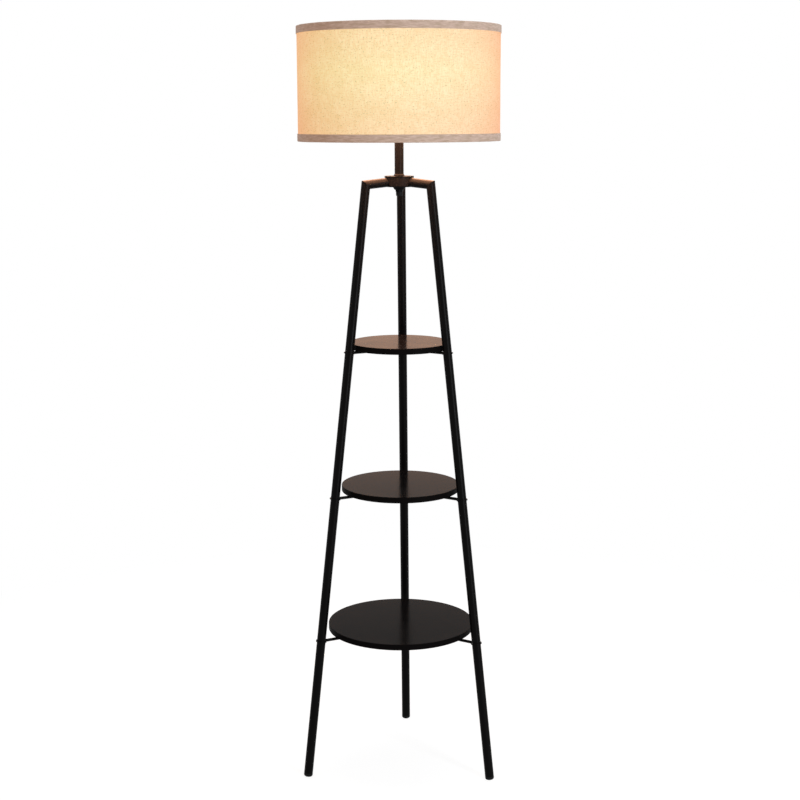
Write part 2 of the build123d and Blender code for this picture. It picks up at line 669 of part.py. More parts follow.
def make_socket_contact():
    """Centre contact: a brass leaf that springs up from the lampholder's floor."""
    leaf_top = BODY_FLOOR_TOP + CONTACT_RISE - CONTACT_THICKNESS
    with BuildPart() as socket_contact:
        with BuildSketch(Plane.XZ):
            with BuildLine():
                FilletPolyline(
                    (-CONTACT_FOOT_START, BODY_FLOOR_TOP),
                    (-CONTACT_FOOT_END, BODY_FLOOR_TOP),
                    (-CONTACT_TOP_START, leaf_top),
                    (CONTACT_TOP_END, leaf_top),
                    radius=CONTACT_BEND_RADIUS,
                )
                offset(amount=CONTACT_THICKNESS, side=Side.LEFT)
            make_face()
        extrude(amount=CONTACT_WIDTH / 2, both=True)
    save(socket_contact, "socket_contact")


def make_socket_ring():
    """Ring screwed onto the lampholder over the shade's fitter, with notches for the fingers."""
    with BuildPart() as socket_ring:
        with BuildSketch(Plane.XY.offset(FITTER_TOP)):
            Circle(RING_OUTER_RADIUS)
            Circle(BODY_RADIUS + THREAD_CLEARANCE, mode=Mode.SUBTRACT)
            with PolarLocations(RING_OUTER_RADIUS, RING_NOTCH_COUNT):
                Circle(RING_NOTCH_RADIUS, mode=Mode.SUBTRACT)
        extrude(amount=RING_HEIGHT)
    save(socket_ring, "socket_ring")


def make_switch_shaft():
    """Shaft of the rotary switch, with a collar inside the cup that keeps it in."""
    inner_radius = CUP_RADIUS - CUP_WALL
    collar_face = sqrt(inner_radius**2 - SWITCH_COLLAR_RADIUS**2) - SWITCH_END_GAP
    reach = CUP_RADIUS + SWITCH_END_GAP + KNOB_BORE_DEPTH
    with BuildPart() as switch_shaft:
        with BuildSketch(Plane.YZ.offset(collar_face)):
            with Locations((0, SWITCH_HEIGHT)):
                Circle(SWITCH_SHAFT_DIAMETER / 2)
        extrude(amount=reach - collar_face)
        with BuildSketch(Plane.YZ.offset(collar_face)):
            with Locations((0, SWITCH_HEIGHT)):
                Circle(SWITCH_COLLAR_RADIUS)
        extrude(amount=-SWITCH_COLLAR_THICKNESS)
    save(switch_shaft, "switch_shaft")


def make_switch_knob():
    """Turn-key knob: a round hub that runs out into a flat finger grip."""
    start = CUP_RADIUS + SWITCH_END_GAP
    with BuildPart() as switch_knob:
        with BuildSketch(Plane.YZ.offset(start)):
            with Locations((0, SWITCH_HEIGHT)):
                Circle(KNOB_DIAMETER / 2)
        extrude(amount=KNOB_LENGTH, taper=KNOB_TAPER)
        with BuildSketch(Plane.YZ.offset(start + KNOB_LENGTH)):
            with Locations((0, SWITCH_HEIGHT)):
                Rectangle(KNOB_DIAMETER, KNOB_DIAMETER)
                Rectangle(KNOB_DIAMETER, KNOB_GRIP_THICKNESS, mode=Mode.SUBTRACT)
        extrude(amount=-KNOB_GRIP_LENGTH, mode=Mode.SUBTRACT)
        with BuildSketch(Plane.YZ.offset(start)):
            with Locations((0, SWITCH_HEIGHT)):
                Circle(SWITCH_SHAFT_DIAMETER / 2)
        extrude(amount=KNOB_BORE_DEPTH, mode=Mode.SUBTRACT)
    save(switch_knob, "switch_knob")


# ---- Bulb ----


def make_bulb_contact():
    """Tip of the screw cap."""
    with BuildPart() as bulb_contact:
        with BuildSketch(Plane.XY.offset(BULB_BOTTOM)):
            Circle(BULB_TIP_RADIUS)
        extrude(amount=BULB_TIP_HEIGHT)
        chamfer(bulb_contact.edges().group_by(Axis.Z)[0], length=BULB_TIP_CHAMFER)
    save(bulb_contact, "bulb_contact")


def make_bulb_insulator():
    """Conical insulator between the tip and the screw cap."""
    bottom = BULB_BOTTOM + BULB_TIP_HEIGHT
    with BuildPart() as bulb_insulator:
        with BuildSketch(Plane.XY.offset(bottom)):
            Circle(BULB_TIP_RADIUS)
        with BuildSketch(Plane.XY.offset(BULB_CAP_BOTTOM)):
            Circle(BULB_CAP_RADIUS - BULB_CAP_WALL)
        loft()
    save(bulb_insulator, "bulb_insulator")


def make_bulb_cap():
    """Metal screw cap."""
    with BuildPart() as bulb_cap:
        with BuildSketch(Plane.XY.offset(BULB_CAP_BOTTOM)):
            Circle(BULB_CAP_RADIUS)
            Circle(BULB_CAP_RADIUS - BULB_CAP_WALL, mode=Mode.SUBTRACT)
        extrude(amount=BULB_CAP_HEIGHT)
    save(bulb_cap, "bulb_cap")


def make_bulb_body():
    """Tapered body that swells from the cap to the globe's rim."""
    neck_radius = BULB_CAP_RADIUS - BULB_CAP_WALL - GLUE_GAP
    with BuildPart() as bulb_body:
        with BuildSketch(Plane.XZ):
            with BuildLine():
                Polyline(
                    (GLOBE_SEAT_RADIUS, GLOBE_BOTTOM),
                    (0, GLOBE_BOTTOM),
                    (0, BULB_CAP_TOP - BULB_NECK_DEPTH),
                    (neck_radius, BULB_CAP_TOP - BULB_NECK_DEPTH),
                    (neck_radius, BULB_CAP_TOP),
                    (BULB_CAP_RADIUS, BULB_CAP_TOP),
                )
                Spline(
                    (BULB_CAP_RADIUS, BULB_CAP_TOP),
                    (GLOBE_SEAT_RADIUS, GLOBE_BOTTOM),
                    tangents=((0, 1), (GLOBE_CENTRE - GLOBE_BOTTOM, GLOBE_SEAT_RADIUS)),
                )
            make_face()
        revolve(axis=Axis.Z)
    save(bulb_body, "bulb_body")


def make_bulb_globe():
    """Thin frosted dome, closed at the top and open where it sits on the body."""
    top = GLOBE_CENTRE + BULB_RADIUS
    inner_radius = BULB_RADIUS - BULB_WALL
    inner_seat = inner_radius * GLOBE_SEAT_RADIUS / BULB_RADIUS
    inner_rim = GLOBE_CENTRE - (GLOBE_CENTRE - GLOBE_BOTTOM) * inner_radius / BULB_RADIUS
    with BuildPart() as bulb_globe:
        with BuildSketch(Plane.XZ):
            with BuildLine():
                CenterArc((0, GLOBE_CENTRE), BULB_RADIUS, -GLOBE_SEAT_ANGLE, 90 + GLOBE_SEAT_ANGLE)
                Line((0, top), (0, top - BULB_WALL))
                CenterArc((0, GLOBE_CENTRE), inner_radius, -GLOBE_SEAT_ANGLE, 90 + GLOBE_SEAT_ANGLE)
                Polyline(
                    (inner_seat, inner_rim),
                    (inner_seat, GLOBE_BOTTOM),
                    (GLOBE_SEAT_RADIUS, GLOBE_BOTTOM),
                )
            make_face()
        revolve(axis=Axis.Z)
    save(bulb_globe, "bulb_globe")


# ---- Shade ----


def cylinder_wall(outer, inner, inset):
    """Thin cylinder that stands between the folds of both trims."""
    with BuildPart() as wall:
        with BuildSketch(Plane.XY.offset(SHADE_BOTTOM + inset)):
            Circle(outer)
            Circle(inner, mode=Mode.SUBTRACT)
        extrude(amount=SHADE_HEIGHT - 2 * inset)
    return wall


def fitter_arm_plane(azimuth):
    """Plane across a fitter arm where it is welded to the fitter, facing in along the arm."""
    height = FLANGE_TOP + FITTER_THICKNESS / 2
    return leaning_plane(azimuth, FITTER_ARM_START, height, 90 - FITTER_ARM_SLOPE)


def make_shade_top_wire():
    """Round wire that stiffens the upper edge."""
    with BuildPart() as shade_top_wire:
        with BuildSketch(Plane.XZ):
            with Locations((WIRE_CENTRE, HIGH_WIRE_HEIGHT)):
                Circle(WIRE_RADIUS)
        revolve(axis=Axis.Z)
    save(shade_top_wire, "shade_top_wire")


def make_shade_fitter():
    """Welded carrier: the lower wire, three arms that rise inwards, and the fitter's ring."""
    with BuildPart() as shade_fitter:
        with BuildSketch(Plane.XZ):
            with Locations((WIRE_CENTRE, LOW_WIRE_HEIGHT)):
                Circle(WIRE_RADIUS)
        revolve(axis=Axis.Z)
        with BuildSketch(Plane.XY.offset(FLANGE_TOP)):
            Circle(FITTER_OUTER_RADIUS)
            Circle(BODY_RADIUS + RING_CLEARANCE, mode=Mode.SUBTRACT)
        extrude(amount=FITTER_THICKNESS)
        for azimuth in FITTER_ARM_AZIMUTHS:
            with BuildSketch(fitter_arm_plane(azimuth)):
                Circle(FITTER_ARM_DIAMETER / 2)
            extrude(amount=-hypot(FITTER_ARM_RUN, FITTER_ARM_DROP))
    save(shade_fitter, "shade_fitter")


def shade_trim(edge, direction):
    """Band folded over an edge of the shade: outside band, edge and hem behind the wire."""
    band_inner = SHADE_RADIUS - TRIM_THICKNESS
    fold = edge + direction * TRIM_THICKNESS
    with BuildPart() as trim:
        with BuildSketch(Plane.XZ):
            with BuildLine():
                Polyline(
                    (SHADE_RADIUS, edge),
                    (SHADE_RADIUS, edge + direction * TRIM_BAND_HEIGHT),
                    (band_inner, edge + direction * TRIM_BAND_HEIGHT),
                    (band_inner, fold),
                    (HEM_OUTER, fold),
                    (HEM_OUTER, edge + direction * TRIM_HEM_HEIGHT),
                    (HEM_INNER, edge + direction * TRIM_HEM_HEIGHT),
                    (HEM_INNER, edge),
                    close=True,
                )
            make_face()
        revolve(axis=Axis.Z)
    return trim


def make_shade_trims():
    """Both trims; the lower one is notched where the fitter's arms come through its hem."""
    save(shade_trim(SHADE_TOP, -1), "shade_trim_top")
    with BuildPart() as shade_trim_bottom:
        add(shade_trim(SHADE_BOTTOM, 1).part)
        for azimuth in FITTER_ARM_AZIMUTHS:
            with BuildSketch(fitter_arm_plane(azimuth)):
                Circle(FITTER_ARM_DIAMETER / 2 + FITTER_NOTCH_CLEARANCE)
            extrude(amount=-hypot(FITTER_ARM_RUN, FITTER_ARM_DROP), mode=Mode.SUBTRACT)
    save(shade_trim_bottom, "shade_trim_bottom")


# ---- Build ----

os.makedirs("parts", exist_ok=True)

for side, azimuth in LEG_ANGLES.items():
    make_leg(side, azimuth)
    make_arm(side, azimuth)
    make_foot(side, azimuth)
make_leg_inserts()
make_joint_studs()

for name, top, radius in shelf_values():
    make_shelf(name, top, radius)
    make_shelf_bracket(name, top)
    make_shelf_screws(name, top)

make_hub_body()
make_arm_inserts()
make_arm_screws()
make_hub_cover()
make_pole_collar()
make_pole()
make_pole_inserts()
save(nipple(NUT_BOTTOM - NIPPLE_TAIL, POLE_BOTTOM + NIPPLE_REACH), "hub_nipple")
save(nipple(POLE_TOP - NIPPLE_REACH, POLE_TOP + CUP_NECK_HEIGHT + CUP_WALL), "socket_nipple")
make_hub_dome()
make_hub_nut()
make_cord_bushing()

make_socket_cup()
make_socket_body()
make_socket_shell()
make_socket_contact()
make_socket_ring()
make_switch_shaft()
make_switch_knob()

make_bulb_contact()
make_bulb_insulator()
make_bulb_cap()
make_bulb_body()
make_bulb_globe()

inset = TRIM_THICKNESS + GLUE_GAP
save(cylinder_wall(FABRIC_OUTER, FABRIC_INNER, inset), "shade_fabric")
save(cylinder_wall(LINER_OUTER, LINER_INNER, inset), "shade_liner")
make_shade_top_wire()
make_shade_fitter()
make_shade_trims()
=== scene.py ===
import json
from math import ceil, cos, pi, radians, sin, tau

import bmesh
import bpy
from mathutils import Matrix, Vector


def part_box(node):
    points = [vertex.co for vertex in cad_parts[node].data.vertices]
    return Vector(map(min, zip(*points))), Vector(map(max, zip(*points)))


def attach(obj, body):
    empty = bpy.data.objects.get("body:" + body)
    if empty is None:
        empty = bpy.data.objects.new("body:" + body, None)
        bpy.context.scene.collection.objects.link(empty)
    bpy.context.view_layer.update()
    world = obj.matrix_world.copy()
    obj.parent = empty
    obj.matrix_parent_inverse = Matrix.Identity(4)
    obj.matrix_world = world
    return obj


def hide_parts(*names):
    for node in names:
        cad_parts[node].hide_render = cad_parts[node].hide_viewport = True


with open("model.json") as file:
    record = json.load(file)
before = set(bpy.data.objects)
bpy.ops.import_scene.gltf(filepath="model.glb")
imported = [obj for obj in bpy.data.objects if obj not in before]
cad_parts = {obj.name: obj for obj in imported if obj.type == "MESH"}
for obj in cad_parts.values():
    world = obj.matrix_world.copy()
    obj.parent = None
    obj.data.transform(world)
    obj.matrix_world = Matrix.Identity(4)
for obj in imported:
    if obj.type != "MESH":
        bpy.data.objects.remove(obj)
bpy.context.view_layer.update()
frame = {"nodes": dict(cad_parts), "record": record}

bl_info = {
    "name": "Shelf floor lamp",
    "version": (1, 0, 0),
    "blender": (4, 5, 0),
    "location": "View3D > Sidebar > Shelf lamp",
    "description": "Dresses the packed shelf lamp: linen, tapes, threads, finishes and its stage",
    "category": "Add Mesh",
}

# ---- Places read from the frame ----

MM = 0.001
MERGE_DISTANCE = 1e-6


def low(node):
    """Lowest corner of a CAD node's box."""
    return Vector(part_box(node)[0])


def high(node):
    """Highest corner of a CAD node's box."""
    return Vector(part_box(node)[1])


def radius_of(node):
    """Outer radius of a CAD node that is round about the lamp's axis."""
    return (high(node).x - low(node).x) / 2


AXIS_Y = (low("pole").y + high("pole").y) / 2
SHADE_RADIUS = radius_of("shade_trim_bottom")
SHADE_BOTTOM = low("shade_trim_bottom").z
SHADE_TOP = high("shade_trim_top").z
WIRE_RADIUS = (high("shade_top_wire").z - low("shade_top_wire").z) / 2
WIRE_CENTRE = radius_of("shade_top_wire") - WIRE_RADIUS
BULB_CENTRE_Z = high("bulb_globe").z - radius_of("bulb_globe")
# Where the fitter's three arms meet the drum, in degrees round the axis from +X.
FITTER_ARM_AZIMUTHS = (30, 150, 270)


# ---- Colours ----


def linear(hex_colour):
    """Turns an sRGB hex colour into the linear one that the shaders take."""
    channels = [int(hex_colour[i:i + 2], 16) / 255 for i in (1, 3, 5)]
    return tuple(c / 12.92 if c <= 0.04045 else ((c + 0.055) / 1.055) ** 2.4 for c in channels)


def colour_property(name, description, hex_colour):
    """A colour that the user can change."""
    return bpy.props.FloatVectorProperty(
        name=name,
        description=description,
        subtype="COLOR",
        size=3,
        min=0,
        max=1,
        default=linear(hex_colour),
    )


def length_property(name, description, default):
    """A length that the user can change, in metres."""
    return bpy.props.FloatProperty(
        name=name,
        description=description,
        unit="LENGTH",
        subtype="DISTANCE",
        min=0,
        precision=5,
        default=default,
    )


# ---- Settings ----


class LinenSettings(bpy.types.PropertyGroup):
    """Sizes of the cloth that covers the drum."""

    gap: length_property("Gap under the tape", "Room between the cloth and the tapes", 0.7 * MM)
    thickness: length_property("Thickness", "Thickness of the cloth with its backing", 0.45 * MM)
    lap_width: length_property("Lap", "Width of the glued lap at the back", 12 * MM)
    lap_rise: length_property("Lap rise", "How far the lap stands out", 0.3 * MM)
    ripple: length_property("Ripple", "Height of the cloth's slow ripples", 0.35 * MM)
    ripple_size: length_property("Ripple size", "Distance between ripples", 60 * MM)
    panels: bpy.props.IntProperty(
        name="Panels", description="Faces round the drum", default=288, min=48, max=720
    )
    rows: bpy.props.IntProperty(
        name="Rows", description="Faces up the drum", default=14, min=2, max=80
    )


class TapeSettings(bpy.types.PropertyGroup):
    """Sizes of the linen tape folded over each edge of the shade."""

    band: length_property("Band", "Height of the tape outside the shade", 15 * MM)
    hem: length_property("Hem", "Height of the tape inside the shade", 9 * MM)
    thickness: length_property("Thickness", "Thickness of the tape", 0.6 * MM)
    fold: length_property("Fold", "Radius of the tape's fold at the shade's edge", 1.6 * MM)
    ripple: length_property("Ripple", "Unevenness of the tape", 0.25 * MM)
    ripple_size: length_property("Ripple size", "Distance between the uneven places", 28 * MM)
    steps: bpy.props.IntProperty(
        name="Steps", description="Faces round the shade", default=240, min=60, max=720
    )


class ThreadSettings(bpy.types.PropertyGroup):
    """Sizes of the rolled and moulded threads."""

    cap_pitch: length_property("Bulb pitch", "Pitch of the bulb's screw cap", 3.62 * MM)
    cap_depth: length_property("Bulb depth", "Depth of the bulb's rolled thread", 0.8 * MM)
    cap_wall: length_property("Bulb wall", "Thickness of the bulb's rolled cap", 0.3 * MM)
    cap_foot: length_property("Bulb foot", "Plain band under the bulb's thread", 1.2 * MM)
    cap_neck: length_property("Bulb neck", "Plain band over the bulb's thread", 5.2 * MM)
    holder_pitch: length_property("Holder pitch", "Pitch of the lampholder's thread", 2.6 * MM)
    holder_depth: length_property("Holder depth", "Height of the lampholder's thread", 0.65 * MM)
    steps: bpy.props.IntProperty(
        name="Steps", description="Faces round a turn", default=64, min=16, max=256
    )


class FastenerSettings(bpy.types.PropertyGroup):
    """Sizes of the screws under the shelves and of the nut under the hub."""

    recess_span: length_property("Recess", "Width of the screw's cross recess", 4.4 * MM)
    recess_arm: length_property("Recess arm", "Width of an arm of the cross", 1.0 * MM)
    recess_depth: length_property("Recess depth", "Depth of the cross recess", 1.4 * MM)
    nut_chamfer: length_property("Nut chamfer", "Height of the nut's turned corners", 0.7 * MM)


class FinishSettings(bpy.types.PropertyGroup):
    """Colours of the lamp's surfaces."""

    frame: colour_property("Frame", "Powder coat of the tubes and brackets", "#090808")
    board: colour_property("Boards", "Laminate of the shelves", "#0F0D0D")
    board_edge: colour_property("Board edges", "Banding round the shelves", "#0D0B0B")
    linen: colour_property("Linen", "Cloth of the shade by daylight", "#8E9096")
    glow: colour_property("Glow", "Light that comes through the cloth", "#E2ECAB")
    slub: colour_property("Slubs", "Thick threads, seen against the light", "#CBC668")
    tape: colour_property("Tape", "Tape along the edges of the shade", "#B7AFA4")
    liner: colour_property("Liner", "Sheet behind the cloth", "#F3E6CF")
    plastic: colour_property("Feet", "Moulded end caps", "#0A0A0A")
    resin: colour_property("Lampholder", "Moulded lampholder", "#171616")


class StageSettings(bpy.types.PropertyGroup):
    """Camera, light and floor."""

    lens: bpy.props.FloatProperty(
        name="Lens", description="Focal length on a 36 mm sensor", unit="CAMERA", default=69.4026
    )
    distance: length_property("Distance", "From the lamp's axis to the camera", 3.08175)
    height: length_property("Height", "Height of the camera", 1.33494)
    turn: bpy.props.FloatProperty(
        name="Turn", description="How far the lamp is turned from the camera",
        subtype="ANGLE", default=0.0512
    )
    tilt: bpy.props.FloatProperty(
        name="Tilt", description="How far the camera looks down", subtype="ANGLE", default=0.1819
    )
    roll: bpy.props.FloatProperty(
        name="Roll", description="How far the camera leans", subtype="ANGLE", default=-0.0037
    )


# ---- Modelling by hand ----


def deselect():
    """Nothing stays selected, so that the next operator works on the new piece alone."""
    if bpy.context.mode != "OBJECT":
        bpy.ops.object.mode_set(mode="OBJECT")
    bpy.ops.object.select_all(action="DESELECT")


def pick(piece):
    """Selects one piece alone and makes it the one that operators work on."""
    deselect()
    piece.select_set(True)
    bpy.context.view_layer.objects.active = piece


def added(name):
    """Names the primitive that was just added."""
    piece = bpy.context.object
    piece.name = name
    piece.data.name = name
    return piece


def edit(piece):
    """Opens a piece for editing, with all of it selected."""
    pick(piece)
    bpy.ops.object.mode_set(mode="EDIT")
    bpy.ops.mesh.select_mode(type="VERT")
    bpy.ops.mesh.select_all(action="SELECT")


def choose(piece, kind, wanted):
    """Selects the verts, edges or faces of the piece being edited that a test picks."""
    mesh = bmesh.from_edit_mesh(piece.data)
    bpy.ops.mesh.select_mode(type={"verts": "VERT", "edges": "EDGE", "faces": "FACE"}[kind])
    bpy.ops.mesh.select_all(action="DESELECT")
    for element in getattr(mesh, kind):
        if wanted(element):
            element.select_set(True)
    mesh.select_flush_mode()
    bmesh.update_edit_mesh(piece.data)


def drawn(name, points):
    """A line of edges through the points, drawn by extruding one vertex again and again."""
    deselect()
    bpy.ops.mesh.primitive_plane_add(size=MM, location=points[0])
    piece = added(name)
    edit(piece)
    bpy.ops.mesh.merge(type="CENTER")
    for here, there in zip(points, points[1:]):
        step = tuple(b - a for a, b in zip(here, there))
        bpy.ops.mesh.extrude_region_move(TRANSFORM_OT_translate={"value": step})
    settle(piece)
    return piece


def closed(piece):
    """Merges the seams of the piece being edited, turns its faces outwards and leaves it."""
    bpy.ops.mesh.select_all(action="SELECT")
    bpy.ops.mesh.remove_doubles(threshold=MERGE_DISTANCE)
    bpy.ops.mesh.normals_make_consistent(inside=False)
    bpy.ops.object.mode_set(mode="OBJECT")
    return piece


def spun(piece, steps, centre=(0, AXIS_Y, 0)):
    """Spins a piece's profile once round an upright axis and closes the seam."""
    edit(piece)
    bpy.ops.mesh.spin(steps=steps, angle=tau, center=centre, axis=(0, 0, 1))
    return closed(piece)


def wound(piece, pitch, turns, steps):
    """Winds a profile drawn beside the world's Z up a thread round the lamp's axis."""
    modified(piece, "SCREW", angle=tau, screw_offset=pitch, iterations=turns,
             steps=steps, render_steps=steps)
    edit(piece)
    bpy.ops.transform.translate(value=(0, AXIS_Y, 0))
    return closed(piece)


def trimmed(piece, height, keep_above):
    """Cuts a piece off level and keeps what is above or below."""
    edit(piece)
    bpy.ops.mesh.bisect(plane_co=(0, 0, height), plane_no=(0, 0, 1),
                        clear_inner=keep_above, clear_outer=not keep_above)
    bpy.ops.object.mode_set(mode="OBJECT")
    return piece


def cut_with(piece, cutter, operation="DIFFERENCE"):
    """Shapes a piece with another one, which is used up."""
    modified(piece, "BOOLEAN", object=cutter, operation=operation, solver="EXACT")
    bpy.data.objects.remove(cutter)
    return piece


def joined(piece, others):
    """Joins other pieces into one."""
    pick(piece)
    for part in others:
        part.select_set(True)
    bpy.ops.object.join()
    return piece


def copied(piece, name, shift):
    """A copy with its own mesh, moved up by shift."""
    pick(piece)
    bpy.ops.object.duplicate(linked=False)
    twin = added(name)
    edit(twin)
    bpy.ops.transform.translate(value=(0, 0, shift))
    bpy.ops.object.mode_set(mode="OBJECT")
    return twin


def modified(piece, kind, **settings):
    """Adds a modifier with its settings and applies it."""
    pick(piece)
    modifier = piece.modifiers.new(kind.title(), kind)
    for key, value in settings.items():
        setattr(modifier, key, value)
    bpy.ops.object.modifier_apply(modifier=modifier.name)
    return piece


def rippled(piece, height, size):
    """Slow unevenness of glued cloth."""
    clouds = bpy.data.textures.new(piece.name + "_ripple", "CLOUDS")
    clouds.noise_scale = size
    return modified(
        piece, "DISPLACE", texture=clouds, texture_coords="LOCAL", strength=height, mid_level=0.5
    )


def settle(piece):
    """Puts a piece's place into its mesh."""
    pick(piece)
    bpy.ops.object.transform_apply(location=True, rotation=True, scale=True)
    return piece


def smoothed(piece, angle):
    """Smooth shading except across edges sharper than the angle, in degrees."""
    pick(piece)
    bpy.ops.object.shade_smooth_by_angle(angle=radians(angle))
    return piece


def finished(piece, material, body, replaces=()):
    """Gives a piece its finish and its place in the frame."""
    piece.data.materials.clear()
    piece.data.materials.append(material)
    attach(piece, body)
    if replaces:
        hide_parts(*replaces)
    return piece


def on_axis(radius, azimuth, height):
    """A point at a distance from the lamp's axis."""
    return (radius * cos(azimuth), AXIS_Y + radius * sin(azimuth), height)


def arc(centre, radius, start, end, steps):
    """(radius, height) points on an arc of a profile, by degrees."""
    for number in range(steps + 1):
        angle = radians(start + (end - start) * number / steps)
        yield (centre[0] + radius * cos(angle), centre[1] + radius * sin(angle))


# ---- Materials ----


def add(tree, kind, inputs=None, **settings):
    """Adds a node, with its settings, and its sockets filled with values or linked."""
    made = tree.nodes.new(kind)
    for key, value in settings.items():
        setattr(made, key, value)
    for socket, value in (inputs or {}).items():
        if isinstance(value, bpy.types.NodeSocket):
            tree.links.new(value, made.inputs[socket])
        else:
            made.inputs[socket].default_value = value
    return made


def rgba(colour):
    """A colour with its alpha, as a socket takes it."""
    return (*colour, 1.0)


def toned(colour, *factors):
    """A colour made darker or lighter, by one factor or by one for each channel."""
    return rgba(tuple(c * f for c, f in zip(colour, factors * 3)))


def material(name):
    """A new material with its principled shader: (material, tree, shader)."""
    made = bpy.data.materials.new(name)
    made.use_nodes = True
    return made, made.node_tree, made.node_tree.nodes["Principled BSDF"]


def object_place(tree):
    """A point's place in its piece's own coordinates, which at rest are the frame's, in metres."""
    return add(tree, "ShaderNodeTexCoord").outputs["Object"]


def along_axes(tree, vector):
    """The X, Y and Z of a vector, by name."""
    return add(tree, "ShaderNodeSeparateXYZ", {0: vector}).outputs


def object_noise(tree, size, detail=2, stretch=(1, 1, 1)):
    """Noise on object coordinates whose cells measure about size, in metres."""
    spread = add(tree, "ShaderNodeMapping", {"Vector": object_place(tree), "Scale": stretch})
    noise = {"Vector": spread.outputs[0], "Scale": 1 / size, "Detail": detail}
    return add(tree, "ShaderNodeTexNoise", noise).outputs["Fac"]


def ranged(tree, value, low_in, high_in, low_out, high_out):
    """Maps a value from one range to another, and holds it at the ends."""
    limits = {"Value": value, 1: low_in, 2: high_in, 3: low_out, 4: high_out}
    return add(tree, "ShaderNodeMapRange", limits).outputs[0]


def mixed(tree, factor, first, second, blend="MIX"):
    """Mixes two colours, which may be values or sockets."""
    colours = {0: factor, 6: first, 7: second}
    return add(tree, "ShaderNodeMix", colours, data_type="RGBA", blend_type=blend).outputs[2]


def computed(tree, operation, first, second=0.0):
    """One step of arithmetic."""
    return add(tree, "ShaderNodeMath", {0: first, 1: second}, operation=operation).outputs[0]


def seen_directly(tree):
    """1 for what the eye meets, also in metal or through glass, and 0 for the light it gives."""
    path = add(tree, "ShaderNodeLightPath").outputs
    mirrored = computed(tree, "MAXIMUM", path["Is Glossy Ray"], path["Is Transmission Ray"])
    return computed(tree, "MAXIMUM", path["Is Camera Ray"], mirrored)


def bumped(tree, shader, height, depth, strength=1.0):
    """Relief of a given depth, in metres."""
    bump = add(tree, "ShaderNodeBump", {"Height": height, "Distance": depth, "Strength": strength})
    tree.links.new(bump.outputs[0], shader.inputs["Normal"])


def set_sockets(shader, **values):
    """Sets uniform values on the shader's own sockets, by name with _ for a space."""
    for name, value in values.items():
        shader.inputs[name.replace("_", " ")].default_value = value


def link_sockets(tree, shader, **sources):
    """Links what varies over the surface to the shader's sockets, by name with _ for a space."""
    for name, source in sources.items():
        tree.links.new(source, shader.inputs[name.replace("_", " ")])


def powder_coat(colour):
    """Polyester powder baked on steel tube: even black with a faint orange peel, satin."""
    made, tree, shader = material("satin_powder_coat")
    peel = object_noise(tree, 1.6 * MM, detail=3)
    cloud = object_noise(tree, 22 * MM)
    shade = mixed(tree, ranged(tree, cloud, 0.3, 0.7, 0, 1), rgba(colour), toned(colour, 0.78))
    link_sockets(tree, shader, Base_Color=shade,
                 Roughness=ranged(tree, cloud, 0.25, 0.75, 0.3, 0.38))
    # The coat's fine texture breaks up most of its reflection, which a low IOR stands for.
    set_sockets(shader, IOR=1.115)
    bumped(tree, shader, peel, 0.05 * MM, 0.5)
    return made


def coated_casting(colour):
    """Powder coat over a sand-cast hub: the casting's grain shows through as fine specks."""
    made, tree, shader = material("coated_sand_casting")
    grain = object_noise(tree, 1.1 * MM, detail=4)
    shade = mixed(tree, ranged(tree, grain, 0.42, 0.68, 0, 1), rgba(colour), toned(colour, 2.4))
    link_sockets(tree, shader, Base_Color=shade,
                 Roughness=ranged(tree, grain, 0.3, 0.7, 0.42, 0.6))
    set_sockets(shader, IOR=1.115)
    bumped(tree, shader, grain, 0.16 * MM, 0.8)
    return made


def shelf_laminate(colour, edge_colour):
    """Black melamine on fibreboard: a flat satin face that mirrors softly, and a matt edge."""
    made, tree, shader = material("satin_melamine_board")
    texture = object_noise(tree, 1.2 * MM, detail=2)
    pores = object_noise(tree, 2.5 * MM, detail=3, stretch=(0.12, 1, 1))
    cloud = object_noise(tree, 45 * MM)
    tone = mixed(tree, ranged(tree, cloud, 0.3, 0.7, 0, 1), rgba(colour), toned(colour, 1.25))
    tone = mixed(tree, ranged(tree, pores, 0.58, 0.7, 0, 0.35), tone, toned(colour, 0.5))
    facing = along_axes(tree, add(tree, "ShaderNodeNewGeometry").outputs["True Normal"])
    face = ranged(tree, computed(tree, "ABSOLUTE", facing["Z"]), 0.5, 0.8, 0, 1)
    tone = mixed(tree, face, rgba(edge_colour), tone)
    gloss = ranged(tree, cloud, 0.25, 0.75, 0.17, 0.21)
    rough = add(tree, "ShaderNodeMix", {0: face, 2: 0.45, 3: gloss}).outputs[0]
    link_sockets(tree, shader, Base_Color=tone, Roughness=rough)
    # A matt foil: dark from above, and a mirror only where it is seen almost edge-on, for which
    # the IOR is matched to the way the shelves darken towards the floor.
    set_sockets(shader, IOR=1.05)
    bumped(tree, shader, texture, 0.012 * MM, 0.4)
    return made


def zinc_plate():
    """Bright zinc on steel screws and rods: blue-grey, slightly streaked."""
    made, tree, shader = material("bright_zinc_plate")
    streak = object_noise(tree, 1.5 * MM, detail=3, stretch=(1, 1, 4))
    tone = mixed(tree, ranged(tree, streak, 0.3, 0.7, 0, 1), rgba(linear("#B9BEC2")),
                 rgba(linear("#9AA0A6")))
    link_sockets(tree, shader, Base_Color=tone,
                 Roughness=ranged(tree, streak, 0.3, 0.7, 0.22, 0.38))
    set_sockets(shader, Metallic=1.0)
    bumped(tree, shader, streak, 0.02 * MM, 0.4)
    return made


def foot_plastic(colour):
    """Injection-moulded polyethylene end cap: matt, with a fine spark-eroded grain."""
    made, tree, shader = material("moulded_polyethylene")
    grain = object_noise(tree, 0.9 * MM, detail=3)
    tone = mixed(tree, ranged(tree, grain, 0.35, 0.65, 0, 1), rgba(colour), toned(colour, 1.6))
    link_sockets(tree, shader, Base_Color=tone, Roughness=ranged(tree, grain, 0.3, 0.7, 0.55, 0.7))
    set_sockets(shader, IOR=1.2)
    bumped(tree, shader, grain, 0.05 * MM, 0.6)
    return made


